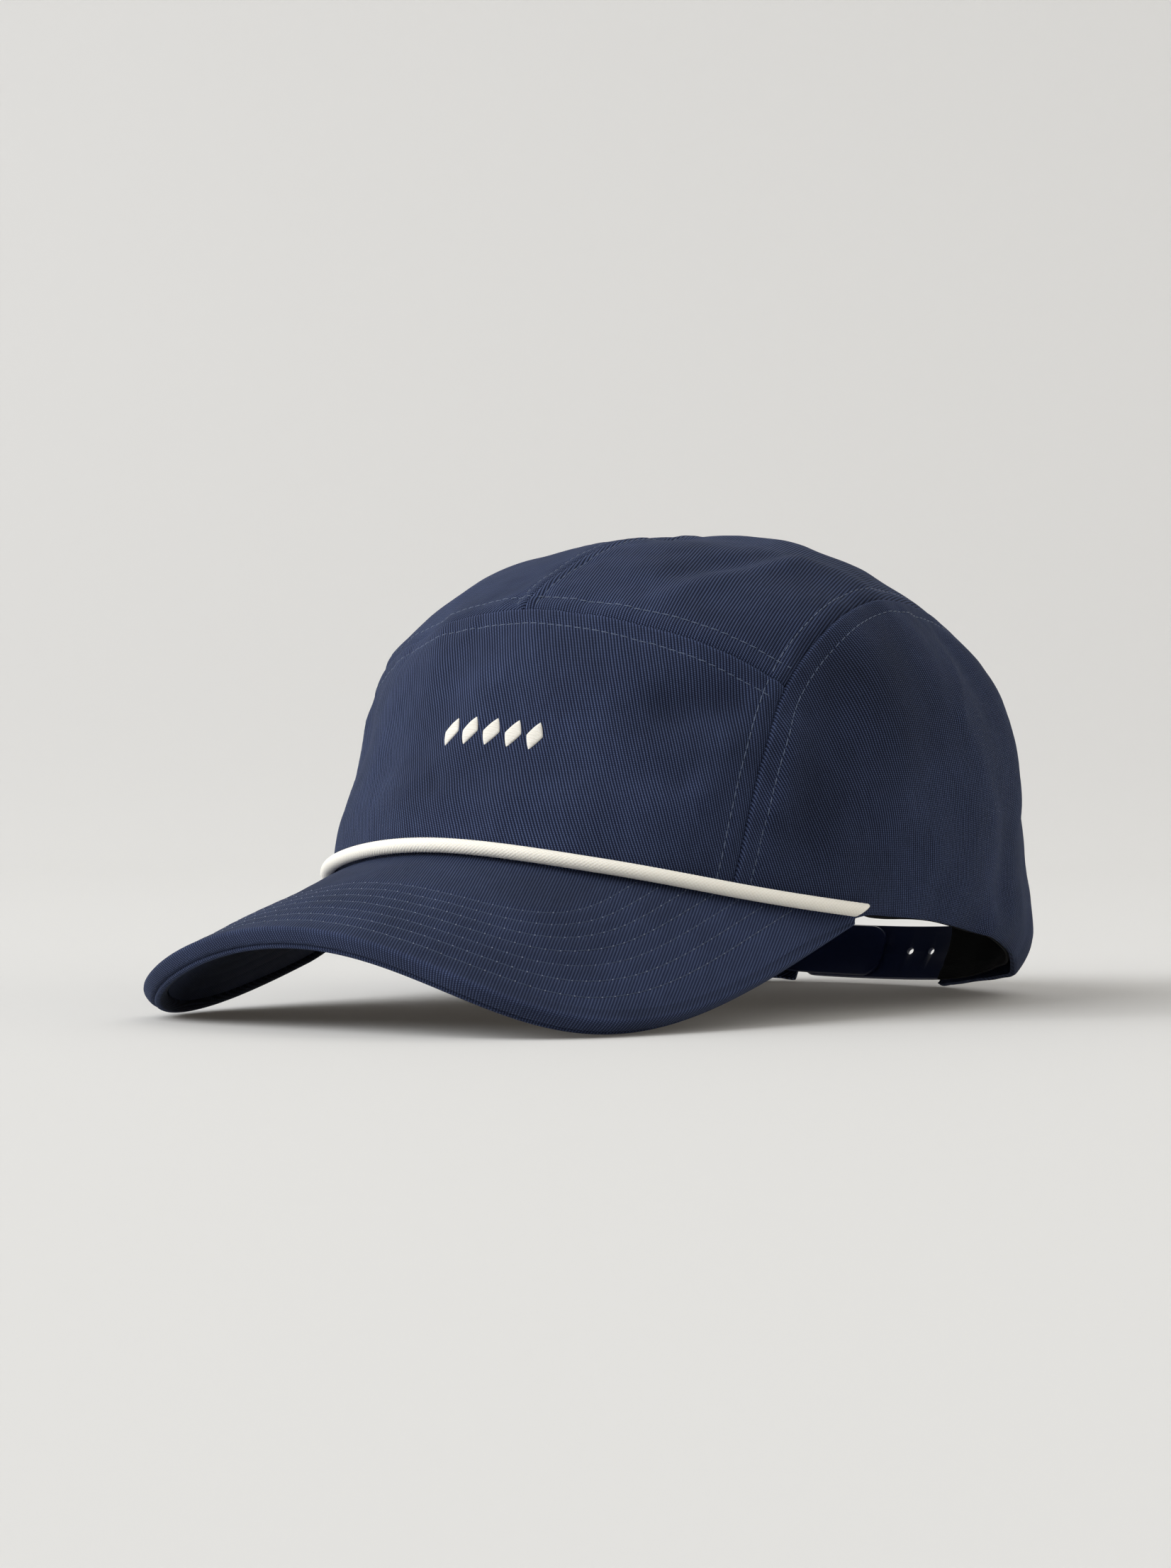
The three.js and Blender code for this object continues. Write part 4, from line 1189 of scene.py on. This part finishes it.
def rope():
    turns = np.linspace(-ROPE["end_turn"], ROPE["end_turn"], 600)
    base = crown_point(at_height(turns, sewn_height(turns)))
    wall, seat = crown_normal(unit(base)), brim_normal(to_brim(base)[0])
    centre = base + (wall + seat) * ((ROPE["radius"] + ROPE["clear"]) / (1 + (wall * seat).sum(1)))[:, None]
    centre += seat * ROPE["raised"]
    length = np.linalg.norm(np.diff(centre, axis=0), axis=1).sum()
    shares = np.linspace(0, 1, ROPE["steps"] + 1)
    path = even_places(centre, centre, shares)
    way = unit(np.gradient(path, axis=0))
    out = unit(even_places(centre, wall + seat, shares))
    out = unit(out - way * (out * way).sum(1, keepdims=True))
    across = np.cross(way, out)
    along = shares * length
    to_end = np.minimum(along, length - along)
    full = np.sqrt(np.clip(1 - (1 - np.clip(to_end / ROPE["tip"], 0, 1)) ** 2, 0, 1))
    # The ends are cut aslant, with the upper side the longer.
    slanted = ROPE["slant"] * (1 - np.clip(to_end / ROPE["slant_over"], 0, 1)) ** 2 * np.sign(shares - 0.5)
    share = np.linspace(0, 1, ROPE["sides"] + 1)
    angle = 2 * math.pi * share
    relief = braid(along[:, None], share[None])
    radius = (ROPE["radius"] - ROPE["groove"] * (1 - relief)) * np.maximum(full, 0.02)[:, None]
    aside, up = np.cos(angle) * radius, np.sin(angle) * radius
    rim = across[:, None] * aside[..., None] + out[:, None] * up[..., None]
    lean = slanted[:, None] * rim[..., 2] / ROPE["radius"]
    points = path[:, None] + rim + way[:, None] * lean[..., None]
    ribs = np.stack(np.broadcast_arrays(along[:, None], share[None] * 2 * math.pi * ROPE["radius"]), -1)
    piece = closed_piece("rope_braid", points, ribs, {"relief": relief})
    smooth_shade(piece, 75)
    finish_piece(piece, rope_cord, "rope_cord", "rope")


rope()


# Sweatband
def sweatband():
    turn = np.linspace(-BAND["end_turn"], BAND["end_turn"], 421)
    up = np.linspace(0, 1, 45)[:, None]
    away = np.abs(turn)
    # The band leaves room for the strap's layers at the back.
    layers = np.where(turn > 0, 1, 2)
    start = BAND_ROOM["turn"] - BAND_ROOM["per_layer"] * layers
    room = layers * (STRAP["wall"] + STRAP["clear"]) * step_between(away, start - BAND_ROOM["fade"], start)
    # It shows a little under the hem at the sides, and is level with it at the back.
    back = step_between(away, 122, 134)
    side = step_between(away, 72, 77) * (1 - back)
    front = step_between(away, 72, 76) * (1 - step_between(away, 78, 98))
    low = hem_height(turn) + BAND["lift"] - 1.0 * side - 0.7 * front - 0.4 * back
    high = hem_height(turn) + BAND["height"]
    wavy = BAND["wavy"] * np.sin(turn * 0.21) * np.sin(turn * 0.083 + 1) * up**2
    tack = BAND["tack"] * bump(up * BAND["height"] - BAND["tack_height"], 0.8)
    depth = WALL + BAND["clear"] + room + BAND["face"] + wavy - tack
    points = wall_point(at_height(turn + 0 * up, low * (1 - up) + high * up), depth)
    ribs = np.stack(np.broadcast_arrays(turn[None] * 1.7, up * BAND["height"]), -1)
    piece = shaped_grid("sweatband_cloth", points, ribs)
    thicken(piece, BAND["wall"] - BAND["face"])
    bevel_edges(piece, BAND["edge"] * MM)
    smooth_shade(piece, 50)
    finish_piece(piece, band_cloth, "band_cloth", "sweatband")


sweatband()


# Snap strap
def flat_strap(name, length, holes):
    """A flat band along X with round ends and holes, modelled lying down in millimetres."""
    deselect()
    bpy.ops.mesh.primitive_cube_add(size=1, scale=(length, STRAP["width"], STRAP["wall"]))
    band = bpy.context.object
    band.name = band.data.name = name
    bpy.ops.object.transform_apply(scale=True)
    bpy.ops.object.mode_set(mode="EDIT")
    bpy.ops.mesh.select_mode(type="EDGE")
    bpy.ops.mesh.select_all(action="DESELECT")
    bpy.ops.object.mode_set(mode="OBJECT")
    for edge in band.data.edges:
        a, b = (band.data.vertices[v].co for v in edge.vertices)
        edge.select = abs(a.z - b.z) > 0.5
    bpy.ops.object.mode_set(mode="EDIT")
    bpy.ops.mesh.bevel(offset=STRAP["corner"], segments=8)
    bpy.ops.object.mode_set(mode="OBJECT")
    for place, through in holes:
        middle = (place, 0, 0 if through else STRAP["blind_drill"])
        bpy.ops.mesh.primitive_cylinder_add(vertices=36, radius=STRAP["hole"], depth=6, location=middle)
        drill = bpy.context.object
        modify(band, "BOOLEAN", object=drill, solver="EXACT")
        bpy.data.objects.remove(drill)
    bevel_edges(band, STRAP["rim"])
    bpy.ops.object.mode_set(mode="EDIT")
    cuts = np.linspace(-length / 2, length / 2, STRAP["cuts"])[1:-1]
    for x in cuts:
        bpy.ops.mesh.select_all(action="SELECT")
        bpy.ops.mesh.bisect(plane_co=(x, 0, 0), plane_no=(1, 0, 0))
    bpy.ops.object.mode_set(mode="OBJECT")
    return band


def on_strap(sideways, height):
    """The direction of a place on the strap, from its distances to the strap's middle."""
    turn = 180 - np.degrees(np.arctan2(sideways, STRAP["away"]))
    return at_height(turn, STRAP["low"] + STRAP["width"] / 2 + height)


def bend_on(band, middle, depth):
    """Lays a flat band inside the crown's wall, round the back."""
    flat = points_of(band.data).astype(float)
    points = wall_point(on_strap(middle - flat[:, 0], flat[:, 1]), depth + STRAP["wall"] / 2 - flat[:, 2])
    place_points(band.data, to_row(points))


def strap_piece(name, strap, holes, node):
    length = abs(strap["from"] - strap["to"])
    middle = (strap["from"] + strap["to"]) / 2
    band = flat_strap(name, length, [(middle - x, k != HOLE_STRAP["blind"]) for k, x in enumerate(holes)])
    bend_on(band, middle, strap["depth"])
    edit_all(band, bpy.ops.mesh.normals_make_consistent, inside=False)
    smooth_shade(band, 35)
    finish_piece(band, strap_plastic, "strap_plastic", node)


hole_places = [HOLE_STRAP["first"] - k * STRAP["pitch"] for k in range(HOLE_STRAP["holes"])]
strap_piece("hole_strap", HOLE_STRAP, hole_places, "strap_with_holes")
strap_piece("peg_strap", PEG_STRAP, [], "strap_with_pegs")


def pegs():
    """Round snaps with a waist and a domed head, through the last holes of the other strap."""
    height, radius = (np.array(PEG[key])[:, None, None] for key in ("out", "radius"))
    angle = np.linspace(0, 2 * math.pi, 25)[:, None]
    made = []
    for k in range(PEG_STRAP["pegs"]):
        d = on_strap(hole_places[-1 - k], 0)
        out = crown_normal(d)
        side = unit(np.cross(out, [0, 0, 1.0]))
        foot = crown_point(d) - out * (PEG_STRAP["depth"] + PEG["sunk"])
        ring = np.cos(angle) * side + np.sin(angle) * np.cross(side, out)
        points = foot + height * out + radius * ring
        made.append(closed_piece(f"peg_{k + 1}", points, np.zeros(points.shape[:2] + (2,)), {}))
    piece = join(made, "snap_pegs")
    smooth_shade(piece, 40)
    finish_piece(piece, strap_plastic, "strap_plastic")


pegs()


# Motif on the front
def motif_piece(middle):
    """One leaning lozenge of satin stitches, whose threads lie across it."""
    rows, columns = 96, 20
    v = np.linspace(-1, 1, rows + 1)[:, None]
    over = np.linspace(-1, 1, columns + 1)[None]
    half = MOTIF["wide"] / 2 * np.clip(1 - np.abs(v) ** 1.15, 0, 1) ** 0.85
    y = v * MOTIF["tall"] / 2
    thread = np.abs(np.sin(math.pi * y / MOTIF["thread"])) + 0 * over
    crown = np.sqrt(np.clip(1 - over**2, 0, 1)) * np.minimum(1, half / 1.2)
    top = MOTIF["proud"] * crown * (0.82 + 0.18 * thread) + 0.02
    x = half * over * (1 - 0.02 * (1 - thread))
    below = np.full_like(x[:, ::-5], MOTIF["sunk"])
    x = np.concatenate([x, x[:, ::-5], x[:, :1]], 1)
    height = np.concatenate([top, below, top[:, :1]], 1)
    relief = np.concatenate([thread, 0 * below, thread[:, :1]], 1)
    sideways = middle + x + MOTIF["lean"] * y
    d = unit(np.stack(np.broadcast_arrays(sideways, -MOTIF["ahead"], MOTIF["height"] + y), -1))
    base = crown_point(d)
    lift, _ = cloth_lift(base, d, FRONT_SEAMS)
    points = base + crown_normal(d) * (lift + height)[..., None]
    ribs = np.stack([x * 2.5, np.broadcast_to(y / MOTIF["thread"], x.shape)], -1)
    return closed_piece("motif", points, ribs, {"relief": relief})


def motif():
    step = (MOTIF["to"] - MOTIF["from"]) / MOTIF["pieces"]
    made = [motif_piece(MOTIF["from"] + (k + 0.5) * step) for k in range(MOTIF["pieces"])]
    piece = join(made, "front_motif")
    edit_all(piece, bpy.ops.mesh.normals_make_consistent, inside=False)
    smooth_shade(piece, 60)
    finish_piece(piece, satin_thread, "rope_cord")


motif()


# Floor and light
def stage_piece():
    """A pale floor that curves up into a wall behind the cap, square to the camera."""
    right, up, back = turned_to(CAMERA["azimuth"], 0)
    bend, flat = FLOOR["bend"], FLOOR["flat"]
    angles = np.linspace(0, math.pi / 2, 24)
    profile = [(FLOOR["front"], 0.0), (flat, 0.0)]
    profile += [(flat + bend * math.sin(t), bend - bend * math.cos(t)) for t in angles[1:]]
    profile.append((flat + bend, FLOOR["top"]))
    deselect()
    bpy.ops.mesh.primitive_grid_add(x_subdivisions=2, y_subdivisions=len(profile) - 1, size=2)
    floor = bpy.context.object
    floor.name = floor.data.name = "studio_floor"
    for v in floor.data.vertices:
        away, height = profile[int(round((v.co.y + 1) / 2 * (len(profile) - 1)))]
        v.co = right * (v.co.x * FLOOR["half_width"]) - back * away + up * height
    material, tree, shader = new_material("studio_paper")
    place = object_place(tree)
    # The paper is painted lighter low down, to the right and further back: painted light that evens out the
    # light falling on it.
    fall = math_node(tree, "DIVIDE", length_along(tree, place, up), -FLOOR["fade_up"])
    share = math_node(tree, "EXPONENT", fall)
    behind = math_node(tree, "MINIMUM", length_along(tree, place, -back), flat)
    paler = math_node(tree, "MULTIPLY_ADD", length_along(tree, place, right), FLOOR["pale_right"], 1.0)
    paler = math_node(tree, "MULTIPLY_ADD", behind, FLOOR["pale_back"], paler)
    paler = math_node(tree, "MAXIMUM", math_node(tree, "MINIMUM", paler, 1.3), 0.8)
    colour = times(tree, mix_colour(tree, share, FLOOR["high"], FLOOR["low"]), paler)
    # A faint warm glow of the paper is painted light that lifts its shadows.
    shader.inputs["Emission Color"].default_value = (1.0, 0.88, 0.74, 1)
    shader.inputs["Emission Strength"].default_value = FLOOR["painted_glow"]
    tree.links.new(colour, shader.inputs["Base Color"])
    shader.inputs["Roughness"].default_value = 0.85
    shader.inputs["Specular IOR Level"].default_value = 0.15
    floor.data.materials.append(material)
    smooth_shade(floor, 60)


def add_light(row):
    """A square softbox that faces the middle of the cap."""
    right, up, back = turned_to(row["azimuth"], row["elevation"])
    deselect()
    bpy.ops.object.light_add(type="AREA")
    light = bpy.context.object
    light.name = row["name"]
    light.data.shape = "SQUARE"
    light.data.size = row["size"]
    light.data.energy = row["power"]
    light.data.color = (0.99, 0.995, 1.0)
    light.visible_camera = False
    light.matrix_world = standing(np.array([0, 0, 0.06]) + back * LIGHT_AWAY, (right, up, back))


def add_air():
    """Soft light from all round, brighter from one side."""
    world = bpy.data.worlds.new("studio_air")
    bpy.context.scene.world = world
    world.use_nodes = True
    tree = world.node_tree
    air = tree.nodes["Background"]
    air.inputs["Color"].default_value = AIR["colour"]
    around = tree.nodes.new("ShaderNodeTexCoord").outputs["Generated"]
    share = tree.nodes.new("ShaderNodeMapRange")
    tree.links.new(length_along(tree, around, AIR["toward"]), share.inputs["Value"])
    share.inputs["From Min"].default_value = AIR["from"]
    share.inputs["From Max"].default_value = AIR["to"]
    share.inputs["To Max"].default_value = AIR["strength"]
    tree.links.new(share.outputs[0], air.inputs["Strength"])


stage_piece()
for row in LIGHTS:
    add_light(row)
add_air()
bpy.context.scene.view_settings.view_transform = "Standard"
